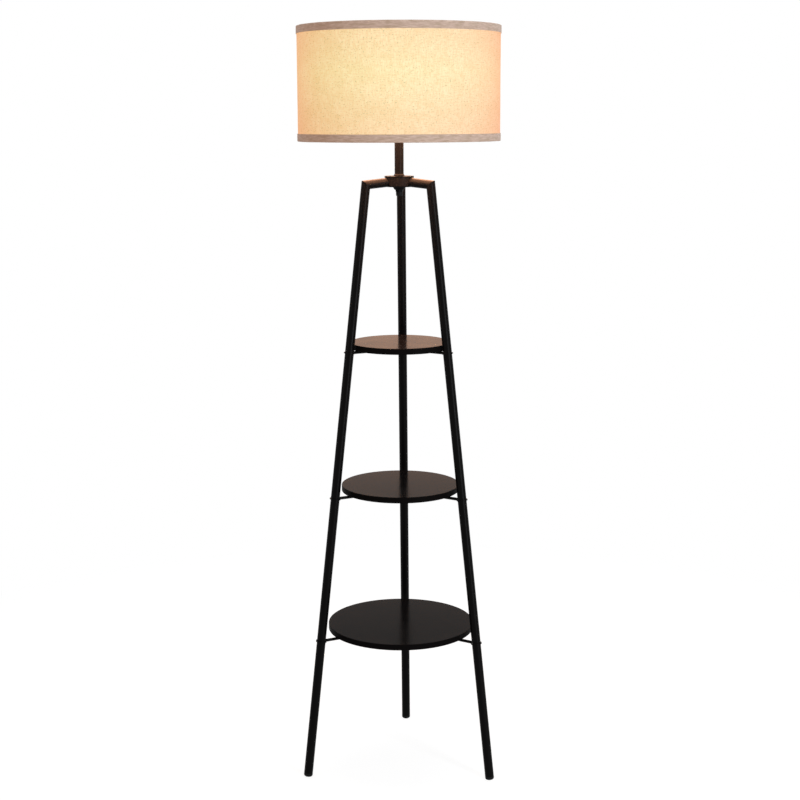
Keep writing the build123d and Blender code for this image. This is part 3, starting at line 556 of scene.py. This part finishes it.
def phenolic_resin(colour):
    """Moulded phenolic of the lampholder: dense black with faint flow marks, semi-gloss."""
    made, tree, shader = material("moulded_phenolic")
    flow = object_noise(tree, 7 * MM, detail=4, stretch=(1, 1, 0.35))
    tone = mixed(tree, ranged(tree, flow, 0.35, 0.7, 0, 1), rgba(colour), toned(colour, 1.5))
    link_sockets(tree, shader, Base_Color=tone, Roughness=ranged(tree, flow, 0.3, 0.7, 0.24, 0.34))
    set_sockets(shader, IOR=1.6)
    bumped(tree, shader, flow, 0.03 * MM, 0.3)
    return made


def drawn_metal(name, bright, dull, roughness):
    """Thin drawn sheet, brass or nickel-plated: fine rings from the drawing die."""
    made, tree, shader = material(name)
    rings = object_noise(tree, 0.8 * MM, detail=2, stretch=(0.15, 0.15, 1))
    tone = mixed(tree, ranged(tree, rings, 0.3, 0.7, 0, 1), rgba(linear(bright)),
                 rgba(linear(dull)))
    link_sockets(tree, shader, Base_Color=tone,
                 Roughness=ranged(tree, rings, 0.3, 0.7, roughness, roughness + 0.14))
    set_sockets(shader, Metallic=1.0)
    return made


def bulb_plastic():
    """White polycarbonate body of the bulb: satin, with a trace of mould flow."""
    made, tree, shader = material("white_polycarbonate")
    flow = object_noise(tree, 9 * MM)
    tone = mixed(tree, ranged(tree, flow, 0.3, 0.7, 0, 1), rgba(linear("#E9E8E4")),
                 rgba(linear("#DFDDD8")))
    link_sockets(tree, shader, Base_Color=tone, Roughness=ranged(tree, flow, 0.3, 0.7, 0.32, 0.4))
    return made


def frosted_globe():
    """Opal polycarbonate dome with the light behind it: brightest at the crown."""
    made, tree, shader = material("lit_opal_dome")
    height = along_axes(tree, object_place(tree))["Z"]
    crown = ranged(tree, height, low("bulb_globe").z, BULB_CENTRE_Z, 0, 1)
    tone = mixed(tree, crown, rgba(linear("#FFF4E4")), rgba(linear("#FFFFFF")))
    link_sockets(tree, shader, Emission_Color=tone)
    # It lights the shade at full strength, but the eye gets a soft cream dome, as an exposure
    # set for the bulb itself would show, since full strength is lost on a white background.
    full_light, seen_light = 60.0, 0.35
    link_sockets(tree, shader, Emission_Strength=ranged(
        tree, seen_directly(tree), 0, 1, full_light, seen_light))
    # The warm coat deepens towards the outline, where the wall is seen at a slant.
    set_sockets(shader, Base_Color=rgba(linear("#E4DED2")), Roughness=0.5,
                Coat_Weight=1.0, Coat_Roughness=0.5, Coat_IOR=1.2,
                Coat_Tint=(1.0, 0.87, 0.67, 1.0))
    return made


def wrapped(tree):
    """Arc length round the shade, measured from its front, and height, in metres."""
    place = along_axes(tree, object_place(tree))
    forward = computed(tree, "SUBTRACT", AXIS_Y, place["Y"])
    angle = computed(tree, "ARCTAN2", place["X"], forward)
    return computed(tree, "MULTIPLY", angle, SHADE_RADIUS), place["Z"]


def from_bulb(tree, height):
    """How far a height is above or below the middle of the bulb's globe, in metres."""
    return computed(tree, "ABSOLUTE", computed(tree, "SUBTRACT", height, BULB_CENTRE_Z))


def thread_noise(tree, along, across, length, width, detail=2, seed=0.0):
    """Noise drawn out along a thread: cells of a length and a width, in metres."""
    place = add(tree, "ShaderNodeCombineXYZ", {
        0: computed(tree, "DIVIDE", along, length),
        1: computed(tree, "DIVIDE", across, width),
        2: seed,
    })
    noise = {"Vector": place.outputs[0], "Scale": 1.0, "Detail": detail}
    return add(tree, "ShaderNodeTexNoise", noise).outputs["Fac"]


def weave(tree, arc_length, height, pitch):
    """Plain weave: warp and weft rise and fall in turn, 0 between threads to 1 on top."""
    warp, weft = (
        computed(tree, "ABSOLUTE", computed(
            tree, "SINE", computed(tree, "MULTIPLY", place, pi / pitch)))
        for place in (arc_length, height)
    )
    return computed(tree, "MAXIMUM", warp, weft)


def lit_linen(colour, glow, slub):
    """Slubby linen glued on a stiff sheet, with the light from inside painted on as its own glow:
    uneven threads show as streaks.
    """
    made, tree, shader = material("lit_slub_linen")
    around, height = wrapped(tree)
    # The threads lie 0.6 mm apart, too fine to show at the render's scale, so the streaks that
    # uneven threads make are drawn 1.9 mm wide.
    weft = thread_noise(tree, around, height, 13 * MM, 1.9 * MM)
    warp = thread_noise(tree, height, around, 9 * MM, 2.0 * MM, seed=7.3)
    specks = thread_noise(tree, around, height, 3.2 * MM, 2.4 * MM, detail=1, seed=3.1)
    blotch = thread_noise(tree, around, height, 48 * MM, 34 * MM, seed=11.0)
    streaks = computed(tree, "ADD", weft, warp)
    light = mixed(tree, ranged(tree, streaks, 0.84, 1.2, 0.0, 0.52), rgba(glow), rgba(slub))
    light = mixed(tree, ranged(tree, specks, 0.58, 0.72, 0, 0.7), light,
                  toned(slub, 0.46, 0.72, 0.64))
    light = mixed(tree, ranged(tree, blotch, 0.35, 0.65, 0.0, 0.25), light, rgba(slub))
    # The painted glow is strongest level with the bulb and less towards both edges.
    fade = ranged(tree, from_bulb(tree, height), 0.0, 0.12, 0.0, 1.0)
    light = mixed(tree, fade, light, (0.95, 0.8, 0.78, 1.0), "MULTIPLY")
    link_sockets(tree, shader, Emission_Color=light)
    tone = mixed(tree, ranged(tree, streaks, 0.86, 1.2, 0, 0.6), rgba(colour), toned(colour, 0.78))
    link_sockets(tree, shader, Base_Color=tone)
    # The tinted coat dims and warms the glow where the cloth is seen at a slant.
    set_sockets(shader, Emission_Strength=1.2, Roughness=0.85, Sheen_Weight=0.1,
                Sheen_Roughness=0.5, Sheen_Tint=rgba(linear("#C9A27C")),
                Coat_Weight=1.0, Coat_Roughness=0.9, Coat_IOR=1.12,
                Coat_Tint=(0.96, 0.74, 0.73, 1.0))
    relief = computed(tree, "ADD", weave(tree, around, height, 1.2 * MM), streaks)
    bumped(tree, shader, relief, 0.1 * MM, 0.5)
    return made


def linen_tape(colour):
    """Taupe linen tape: a plain weave with darker and lighter threads, and a trace of painted glow
    for the bulb's light behind it.
    """
    made, tree, shader = material("woven_linen_tape")
    around, height = wrapped(tree)
    weft = thread_noise(tree, around, height, 14 * MM, 1.9 * MM)
    patch = thread_noise(tree, around, height, 20 * MM, 4.5 * MM, detail=3, seed=5.0)
    tone = mixed(tree, ranged(tree, weft, 0.35, 0.65, 0, 0.6), rgba(colour), toned(colour, 0.45))
    tone = mixed(tree, ranged(tree, patch, 0.45, 0.65, 0, 0.7), tone,
                 toned(colour, 0.5, 0.55, 0.5))
    link_sockets(tree, shader, Base_Color=tone)
    # The faint orange emission is painted glow, standing for the bulb's light through the tape.
    set_sockets(shader, Roughness=0.9, Sheen_Weight=0.25, Sheen_Roughness=0.5,
                Emission_Color=(0.18, 0.06, 0.02, 1.0), Emission_Strength=1.0)
    relief = computed(tree, "ADD", weave(tree, around, height, 1.1 * MM), weft)
    bumped(tree, shader, relief, 0.15 * MM, 0.7)
    return made


def shade_liner(colour):
    """Translucent styrene sheet behind the linen, lit by the bulb and with a painted glow on top:
    smooth and milky.
    """
    made, tree, shader = material("translucent_styrene")
    rise = from_bulb(tree, along_axes(tree, object_place(tree))["Z"])
    cloud = object_noise(tree, 30 * MM)
    tone = mixed(tree, ranged(tree, cloud, 0.3, 0.7, 0, 0.25), rgba(colour), toned(colour, 0.9))
    link_sockets(tree, shader, Base_Color=tone)
    # Painted glow: pale level with the bulb, and warmer and dimmer towards the edges.
    warm = mixed(tree, ranged(tree, rise, 0.02, 0.13, 0, 1), rgba(linear("#FFE3B4")),
                 rgba(linear("#F3C88E")))
    link_sockets(tree, shader, Emission_Color=warm)
    set_sockets(shader, Emission_Strength=1.0, Roughness=0.4)
    return made


def white_coat():
    """White powder coat on the shade's wires: satin with a faint peel."""
    made, tree, shader = material("white_powder_coat")
    peel = object_noise(tree, 1.4 * MM, detail=3)
    tone = mixed(tree, ranged(tree, peel, 0.3, 0.7, 0, 1), rgba(linear("#E6E4DF")),
                 rgba(linear("#DAD7D0")))
    link_sockets(tree, shader, Base_Color=tone, Roughness=ranged(tree, peel, 0.3, 0.7, 0.38, 0.48))
    bumped(tree, shader, peel, 0.04 * MM, 0.4)
    return made


# ---- Operators ----


class LinenCover(bpy.types.Operator):
    """Stretch the linen round the shade, with a glued lap at the back."""

    bl_idname = "shelf_lamp.linen_cover"
    bl_label = "Linen cover"

    def execute(self, context):
        sizes = context.scene.shelf_lamp_linen
        finish = context.scene.shelf_lamp_finish
        radius = SHADE_RADIUS - context.scene.shelf_lamp_tape.thickness - sizes.gap
        bottom, top = low("shade_fabric").z, high("shade_fabric").z
        deselect()
        bpy.ops.mesh.primitive_cylinder_add(
            vertices=sizes.panels,
            radius=radius,
            depth=top - bottom,
            end_fill_type="NOTHING",
            location=(0, AXIS_Y, (bottom + top) / 2),
        )
        linen = added("linen_cover")
        settle(linen)
        edit(linen)
        choose(linen, "edges", lambda e: abs(e.verts[0].co.z - e.verts[1].co.z) > MERGE_DISTANCE)
        bpy.ops.mesh.subdivide(number_cuts=sizes.rows - 1)
        # The lap is a strip of faces at the back, beside the seam.
        choose(linen, "faces", lambda f: (
            f.calc_center_median().y > AXIS_Y and 0 < f.calc_center_median().x < sizes.lap_width
        ))
        bpy.ops.mesh.extrude_region_shrink_fatten(
            TRANSFORM_OT_shrink_fatten={"value": sizes.lap_rise}
        )
        rippled(linen, sizes.ripple, sizes.ripple_size)
        modified(linen, "SOLIDIFY", thickness=sizes.thickness, offset=-1)
        smoothed(linen, 40)
        cloth = lit_linen(finish.linen, finish.glow, finish.slub)
        finished(linen, cloth, "lamp", ["shade_fabric"])
        return {"FINISHED"}


class EdgeTapes(bpy.types.Operator):
    """Fold a linen tape over the wire in each edge of the shade."""

    bl_idname = "shelf_lamp.edge_tapes"
    bl_label = "Edge tapes"

    def profile(self, sizes, edge, up):
        """(radius, height) points of the folded tape, from its band to its hem."""
        half = sizes.thickness / 2
        outside = SHADE_RADIUS - half
        wire_clearance = MM / 10
        inside = WIRE_CENTRE - WIRE_RADIUS - half - wire_clearance
        corner = sizes.fold - half
        flat = edge + up * half
        # A point partway up the band and the hem lets the tape ripple there.
        points = [(outside, edge + up * sizes.band), (outside, edge + up * sizes.band * 0.6)]
        points += arc((outside - corner, flat + up * corner), corner, 0, -90 * up, 5)
        points += arc((inside + corner, flat + up * corner), corner, -90 * up, -180 * up, 5)
        points += [(inside, edge + up * sizes.hem * 0.7), (inside, edge + up * sizes.hem)]
        return points

    def notch(self, tape, top):
        """Slits the hem where the fitter's arms come through."""
        half_width = 3 * MM

        def by_an_arm(face):
            centre = face.calc_center_median() - Vector((0, AXIS_Y, 0))
            across = min(
                abs(centre.x * sin(radians(a)) - centre.y * cos(radians(a)))
                for a in FITTER_ARM_AZIMUTHS
                if centre.x * cos(radians(a)) + centre.y * sin(radians(a)) > 0
            )
            inside = centre.xy.length < WIRE_CENTRE - WIRE_RADIUS
            return inside and across < half_width and centre.z > top

        edit(tape)
        choose(tape, "faces", by_an_arm)
        bpy.ops.mesh.delete(type="FACE")
        bpy.ops.object.mode_set(mode="OBJECT")

    def execute(self, context):
        sizes = context.scene.shelf_lamp_tape
        cloth = linen_tape(context.scene.shelf_lamp_finish.tape)
        # Half a step round, so that each arm of the fitter meets the middle of a face.
        half_step = pi / sizes.steps
        for name, edge, up, node in (
            ("edge_tape_bottom", SHADE_BOTTOM, 1, "shade_trim_bottom"),
            ("edge_tape_top", SHADE_TOP, -1, "shade_trim_top"),
        ):
            points = [on_axis(r, half_step, z) for r, z in self.profile(sizes, edge, up)]
            tape = spun(drawn(name, points), sizes.steps)
            if up > 0:
                self.notch(tape, edge + 2 * sizes.fold)
            rippled(tape, sizes.ripple, sizes.ripple_size)
            modified(tape, "SOLIDIFY", thickness=sizes.thickness, offset=0)
            smoothed(tape, 50)
            finished(tape, cloth, "lamp", [node])
        return {"FINISHED"}


class Finishes(bpy.types.Operator):
    """Give every CAD node that shows its own finish."""

    bl_idname = "shelf_lamp.finishes"
    bl_label = "Finishes"

    def execute(self, context):
        colours = context.scene.shelf_lamp_finish
        brass = drawn_metal("drawn_brass", "#D9B56A", "#B8924A", 0.2)
        nickel = drawn_metal("nickel_plate", "#C9C7C2", "#A8A6A1", 0.18)
        by_slot = {
            "frame_paint": powder_coat(colours.frame),
            "shelf_board": shelf_laminate(colours.board, colours.board_edge),
            "zinc_steel": zinc_plate(),
            "foot_plastic": foot_plastic(colours.plastic),
            "lampholder_resin": phenolic_resin(colours.resin),
            "lampholder_brass": brass,
            "bulb_metal": nickel,
            "bulb_white": bulb_plastic(),
            "bulb_frosted": frosted_globe(),
            "shade_liner": shade_liner(colours.liner),
            "wire_coating": white_coat(),
        }
        casting = coated_casting(colours.frame)
        for part in frame["record"]["subparts"]:
            node = frame["nodes"][part["node"]]
            finish = by_slot.get(part["material_slot"])
            if part["node"] in ("hub_body", "hub_dome"):
                finish = casting
            if finish:
                node.data.materials.clear()
                node.data.materials.append(finish)
        return {"FINISHED"}


class BulbCap(bpy.types.Operator):
    """Roll the bulb's screw cap, with plain collars at both ends of its thread."""

    bl_idname = "shelf_lamp.bulb_cap"
    bl_label = "Bulb cap"

    def collar(self, name, inside, outside, bottom, top):
        """A ring with rounded outer edges."""
        soft = 0.15 * MM
        outline = [
            (inside, bottom), (outside - soft, bottom), (outside, bottom + soft),
            (outside, top - soft), (outside - soft, top), (inside, top), (inside, bottom),
        ]
        return drawn(name, [(r, AXIS_Y, z) for r, z in outline])

    def execute(self, context):
        sizes = context.scene.shelf_lamp_thread
        crest, bottom, top = radius_of("bulb_cap"), low("bulb_cap").z, high("bulb_cap").z
        half = sizes.cap_depth / 2
        # The thread starts a turn low and is cut off level where the collars begin.
        start = bottom - sizes.cap_pitch
        corners = 12
        wave = [
            (crest - half + half * cos(tau * n / corners), 0, start + sizes.cap_pitch * n / corners)
            for n in range(corners + 1)
        ]
        turns = ceil((top - start) / sizes.cap_pitch)
        cap = wound(drawn("bulb_screw_cap", wave), sizes.cap_pitch, turns, sizes.steps)
        thread_bottom, thread_top = bottom + sizes.cap_foot, top - sizes.cap_neck
        trimmed(cap, thread_bottom, keep_above=True)
        trimmed(cap, thread_top, keep_above=False)
        modified(cap, "SOLIDIFY", thickness=sizes.cap_wall, offset=-1)
        root = crest - sizes.cap_depth - sizes.cap_wall
        upper_wall = overlap = MM / 2
        collars = [
            self.collar("cap_lower_collar", root, crest, bottom, thread_bottom + overlap),
            self.collar("cap_upper_collar", crest - upper_wall, crest, thread_top - overlap, top),
        ]
        joined(cap, [spun(collar, sizes.steps) for collar in collars])
        smoothed(cap, 40)
        finished(cap, bpy.data.materials["nickel_plate"], "bulb", ["bulb_cap"])
        return {"FINISHED"}


class HolderThread(bpy.types.Operator):
    """Wind the moulded thread round the lampholder, above its ring."""

    bl_idname = "shelf_lamp.holder_thread"
    bl_label = "Lampholder thread"

    def execute(self, context):
        sizes = context.scene.shelf_lamp_thread
        # The ridge's foot is sunk in the body's wall, so that no gap shows.
        sunk = 0.05 * MM
        root = radius_of("socket_body") - sunk
        crest = root + sizes.holder_depth
        margin = MM / 2
        start = high("socket_ring").z + margin
        rib = sizes.holder_pitch * 0.6
        slope = rib * 0.35
        ridge = drawn("lampholder_thread", [
            (root, 0, start), (crest, 0, start + slope),
            (crest, 0, start + rib - slope), (root, 0, start + rib),
        ])
        edit(ridge)
        choose(ridge, "verts", lambda v: v.co.x < root + MERGE_DISTANCE)
        bpy.ops.mesh.edge_face_add()
        bpy.ops.object.mode_set(mode="OBJECT")
        turns = int((high("socket_body").z - 2 * margin - start - rib) / sizes.holder_pitch)
        wound(ridge, sizes.holder_pitch, turns, sizes.steps)
        edit(ridge)
        bpy.ops.mesh.fill_holes(sides=0)
        closed(ridge)
        smoothed(ridge, 25)
        finished(ridge, bpy.data.materials["moulded_phenolic"], "lamp")
        return {"FINISHED"}


class ShelfScrews(bpy.types.Operator):
    """Turn a pan-head screw with a cross recess, and set three under each shelf."""

    bl_idname = "shelf_lamp.shelf_screws"
    bl_label = "Shelf screws"

    def cross_arm(self, name, centre, sizes, turn):
        """Half of the cross recess, narrower at its bottom."""
        bpy.ops.mesh.primitive_cube_add(
            size=1, location=centre, rotation=(0, 0, turn),
            scale=(sizes.recess_span, sizes.recess_arm, sizes.recess_depth * 2),
        )
        arm = settle(added(name))
        edit(arm)
        choose(arm, "verts", lambda v: v.co.z > centre[2])
        bpy.ops.transform.resize(value=(0.5, 0.5, 1), center_override=centre)
        bpy.ops.object.mode_set(mode="OBJECT")
        return arm

    def execute(self, context):
        sizes = context.scene.shelf_lamp_fastener
        bottom, top = low("shelf_screws_bottom"), high("shelf_screws_bottom")
        plate = low("shelf_bracket_bottom").z
        head, rounding = 4 * MM, 1.6 * MM
        azimuth = radians(30)
        reach = (top.x - bottom.x - 2 * head) / 2 / cos(azimuth)
        x, y, _ = on_axis(reach, azimuth, 0)
        outline = [(0, top.z), (head / 2, top.z), (head / 2, plate), (head, plate)]
        outline += arc((head - rounding, bottom.z + rounding), rounding, 0, -80, 6)
        outline += [(0, bottom.z)]
        screw = drawn("shelf_pan_screws_bottom", [(x + r, y, z) for r, z in outline])
        spun(screw, 32, (x, y, 0))
        for name, turn in (("recess_along", azimuth), ("recess_across", azimuth + pi / 2)):
            cut_with(screw, self.cross_arm(name, (x, y, bottom.z), sizes, turn))
        edit(screw)
        bpy.ops.mesh.spin(steps=2, dupli=True, angle=tau * 2 / 3,
                          center=(0, AXIS_Y, 0), axis=(0, 0, 1))
        bpy.ops.object.mode_set(mode="OBJECT")
        smoothed(screw, 35)
        zinc = bpy.data.materials["bright_zinc_plate"]
        for shelf in ("middle", "top"):
            shift = low("shelf_screws_" + shelf).z - bottom.z
            twin = copied(screw, "shelf_pan_screws_" + shelf, shift)
            finished(twin, zinc, "lamp", ["shelf_screws_" + shelf])
        finished(screw, zinc, "lamp", ["shelf_screws_bottom"])
        return {"FINISHED"}


class HubNut(bpy.types.Operator):
    """Turn the corners off the hexagonal nut under the hub."""

    bl_idname = "shelf_lamp.hub_nut"
    bl_label = "Hub nut"

    def execute(self, context):
        chamfer = context.scene.shelf_lamp_fastener.nut_chamfer
        bottom, top = low("hub_nut").z, high("hub_nut").z
        flat = radius_of("hub_nut")
        corner = flat / cos(pi / 6)
        thread = radius_of("hub_nipple")
        inset, clear = 0.3 * MM, 0.1 * MM
        deselect()
        bpy.ops.mesh.primitive_cylinder_add(
            vertices=6, radius=corner, depth=top - bottom, location=(0, AXIS_Y, (bottom + top) / 2)
        )
        nut = settle(added("hub_hex_nut"))
        blank = drawn("nut_blank", [(r, AXIS_Y, z) for r, z in (
            (thread, top), (thread, bottom), (flat - inset, bottom),
            (corner + clear, bottom + chamfer), (corner + clear, top - chamfer),
            (flat - inset, top), (thread, top),
        )])
        cut_with(nut, spun(blank, 64), "INTERSECT")
        smoothed(nut, 25)
        finished(nut, bpy.data.materials["satin_powder_coat"], "lamp", ["hub_nut"])
        return {"FINISHED"}


class Stage(bpy.types.Operator):
    """Set the floor, the lights, the world and the camera."""

    bl_idname = "shelf_lamp.stage"
    bl_label = "Stage"

    def floor(self):
        """White floor that shows the lamp's shadow and fades to plain white further out."""
        floor_radius, centre_radius = 9, 3
        shadow_reach, plain_from = 0.7, 1.6
        deselect()
        bpy.ops.mesh.primitive_circle_add(vertices=96, radius=floor_radius, fill_type="NGON")
        floor = added("floor")
        edit(floor)
        bpy.ops.mesh.inset(thickness=floor_radius - centre_radius)
        bpy.ops.object.mode_set(mode="OBJECT")
        made, tree, shader = material("studio_floor")
        output = tree.nodes["Material Output"]
        set_sockets(shader, Base_Color=rgba(linear("#6C6C6C")), Roughness=0.9,
                    Emission_Color=rgba((1, 1, 1)))
        seen = seen_directly(tree)
        # Its own glow lifts the floor to white, and leaves room for the lamp's shadow.
        link_sockets(tree, shader, Emission_Strength=computed(tree, "MULTIPLY", seen, 0.88))
        away = add(tree, "ShaderNodeVectorMath", {0: object_place(tree)}, operation="LENGTH")
        edge = ranged(tree, away.outputs["Value"], shadow_reach, plain_from, 0, 1)
        white = add(tree, "ShaderNodeEmission", {"Color": (1, 1, 1, 1), "Strength": 1.0})
        blend = add(tree, "ShaderNodeMixShader", {
            0: computed(tree, "MULTIPLY", edge, seen), 1: shader.outputs[0], 2: white.outputs[0],
        })
        tree.links.new(blend.outputs[0], output.inputs["Surface"])
        floor.data.materials.append(made)

    def world(self, scene):
        """Plain grey light from all round, seen as white directly and in metal and glass."""
        world = bpy.data.worlds.new("studio")
        scene.world = world
        world.use_nodes = True
        tree = world.node_tree
        shader = tree.nodes["Background"]
        seen = seen_directly(tree)
        colour = mixed(tree, seen, rgba(linear("#A4A4A4")), (1, 1, 1, 1))
        link_sockets(tree, shader, Color=colour)
        set_sockets(shader, Strength=1.0)

    def softbox(self, name, place, target, size, power, colour):
        """A rectangular soft light."""
        light = bpy.data.lights.new(name, "AREA")
        light.shape = "RECTANGLE"
        light.size, light.size_y = size
        light.energy = power
        light.color = linear(colour)
        lamp = bpy.data.objects.new(name, light)
        lamp.visible_camera = False
        bpy.context.scene.collection.objects.link(lamp)
        place, target = Vector(place), Vector(target)
        facing = (target - place).to_track_quat("-Z", "Y").to_matrix().to_4x4()
        lamp.matrix_world = Matrix.Translation(place) @ facing

    def camera(self, context, settings):
        """The camera where the photograph was taken from."""
        camera = bpy.data.cameras.new("camera")
        camera.lens = settings.lens
        camera.sensor_width = 36
        lens = bpy.data.objects.new("camera", camera)
        context.scene.collection.objects.link(lens)
        context.scene.camera = lens
        place = Vector((
            settings.distance * sin(settings.turn),
            AXIS_Y - settings.distance * cos(settings.turn),
            settings.height,
        ))
        lens.matrix_world = (
            Matrix.Translation(place)
            @ Matrix.Rotation(settings.turn, 4, "Z")
            @ Matrix.Rotation(pi / 2 - settings.tilt, 4, "X")
            @ Matrix.Rotation(settings.roll, 4, "Z")
        )

    def execute(self, context):
        settings = context.scene.shelf_lamp_stage
        self.floor()
        self.world(context.scene)
        # Each light has its place, what it faces, its size in metres, its watts and its colour.
        middle = (0, AXIS_Y, 0.9)
        self.softbox("key_light", (2.1, -2.3, 1.2), middle, (0.5, 2.4), 74, "#F6FAFF")
        self.softbox("fill_light", (-2.6, -1.9, 1.5), middle, (1.4, 1.8), 15, "#FFFDFA")
        self.softbox("top_light", (0.2, 0.6, 3.4), middle, (1.8, 1.8), 30, "#FFFFFF")
        # What the bulb throws down past its holder, on the hub, the arms and the top shelf.
        below = (0, AXIS_Y, SHADE_BOTTOM + 10 * MM)
        self.softbox("bulb_spill", below, (0, AXIS_Y, 0), (0.26, 0.26), 6.6, "#FFB488")
        # A warm strip far behind, which the shelves mirror more the nearer they are to eye level.
        self.softbox("rim_light", (0, 12, 2.62), middle, (15, 0.8), 90, "#FF9B20")
        self.camera(context, settings)
        context.scene.view_settings.view_transform = "Standard"
        return {"FINISHED"}


class ShelfLampPanel(bpy.types.Panel):
    """Lists the steps that dress the lamp."""

    bl_idname = "VIEW3D_PT_shelf_lamp"
    bl_label = "Shelf lamp"
    bl_space_type = "VIEW_3D"
    bl_region_type = "UI"
    bl_category = "Shelf lamp"

    def draw(self, context):
        for step in STEPS:
            self.layout.operator(step.bl_idname)
        for settings in SETTINGS:
            box = self.layout.box()
            group = getattr(context.scene, settings)
            for name in group.bl_rna.properties.keys():
                if name not in ("rna_type", "name"):
                    box.prop(group, name)


STEPS = (Stage, Finishes, LinenCover, EdgeTapes, BulbCap, HolderThread, ShelfScrews, HubNut)
SETTINGS = {
    "shelf_lamp_linen": LinenSettings,
    "shelf_lamp_tape": TapeSettings,
    "shelf_lamp_thread": ThreadSettings,
    "shelf_lamp_fastener": FastenerSettings,
    "shelf_lamp_finish": FinishSettings,
    "shelf_lamp_stage": StageSettings,
}


def register():
    for name, group in SETTINGS.items():
        bpy.utils.register_class(group)
        setattr(bpy.types.Scene, name, bpy.props.PointerProperty(type=group))
    for step in STEPS:
        bpy.utils.register_class(step)
    bpy.utils.register_class(ShelfLampPanel)


def unregister():
    bpy.utils.unregister_class(ShelfLampPanel)
    for step in reversed(STEPS):
        bpy.utils.unregister_class(step)
    for name, group in SETTINGS.items():
        delattr(bpy.types.Scene, name)
        bpy.utils.unregister_class(group)


def main():
    """Dresses the lamp step by step."""
    register()
    bpy.ops.shelf_lamp.stage()
    bpy.ops.shelf_lamp.finishes()
    bpy.ops.shelf_lamp.linen_cover()
    bpy.ops.shelf_lamp.edge_tapes()
    bpy.ops.shelf_lamp.bulb_cap()
    bpy.ops.shelf_lamp.holder_thread()
    bpy.ops.shelf_lamp.shelf_screws()
    bpy.ops.shelf_lamp.hub_nut()
    deselect()


if __name__ == "__main__":
    main()
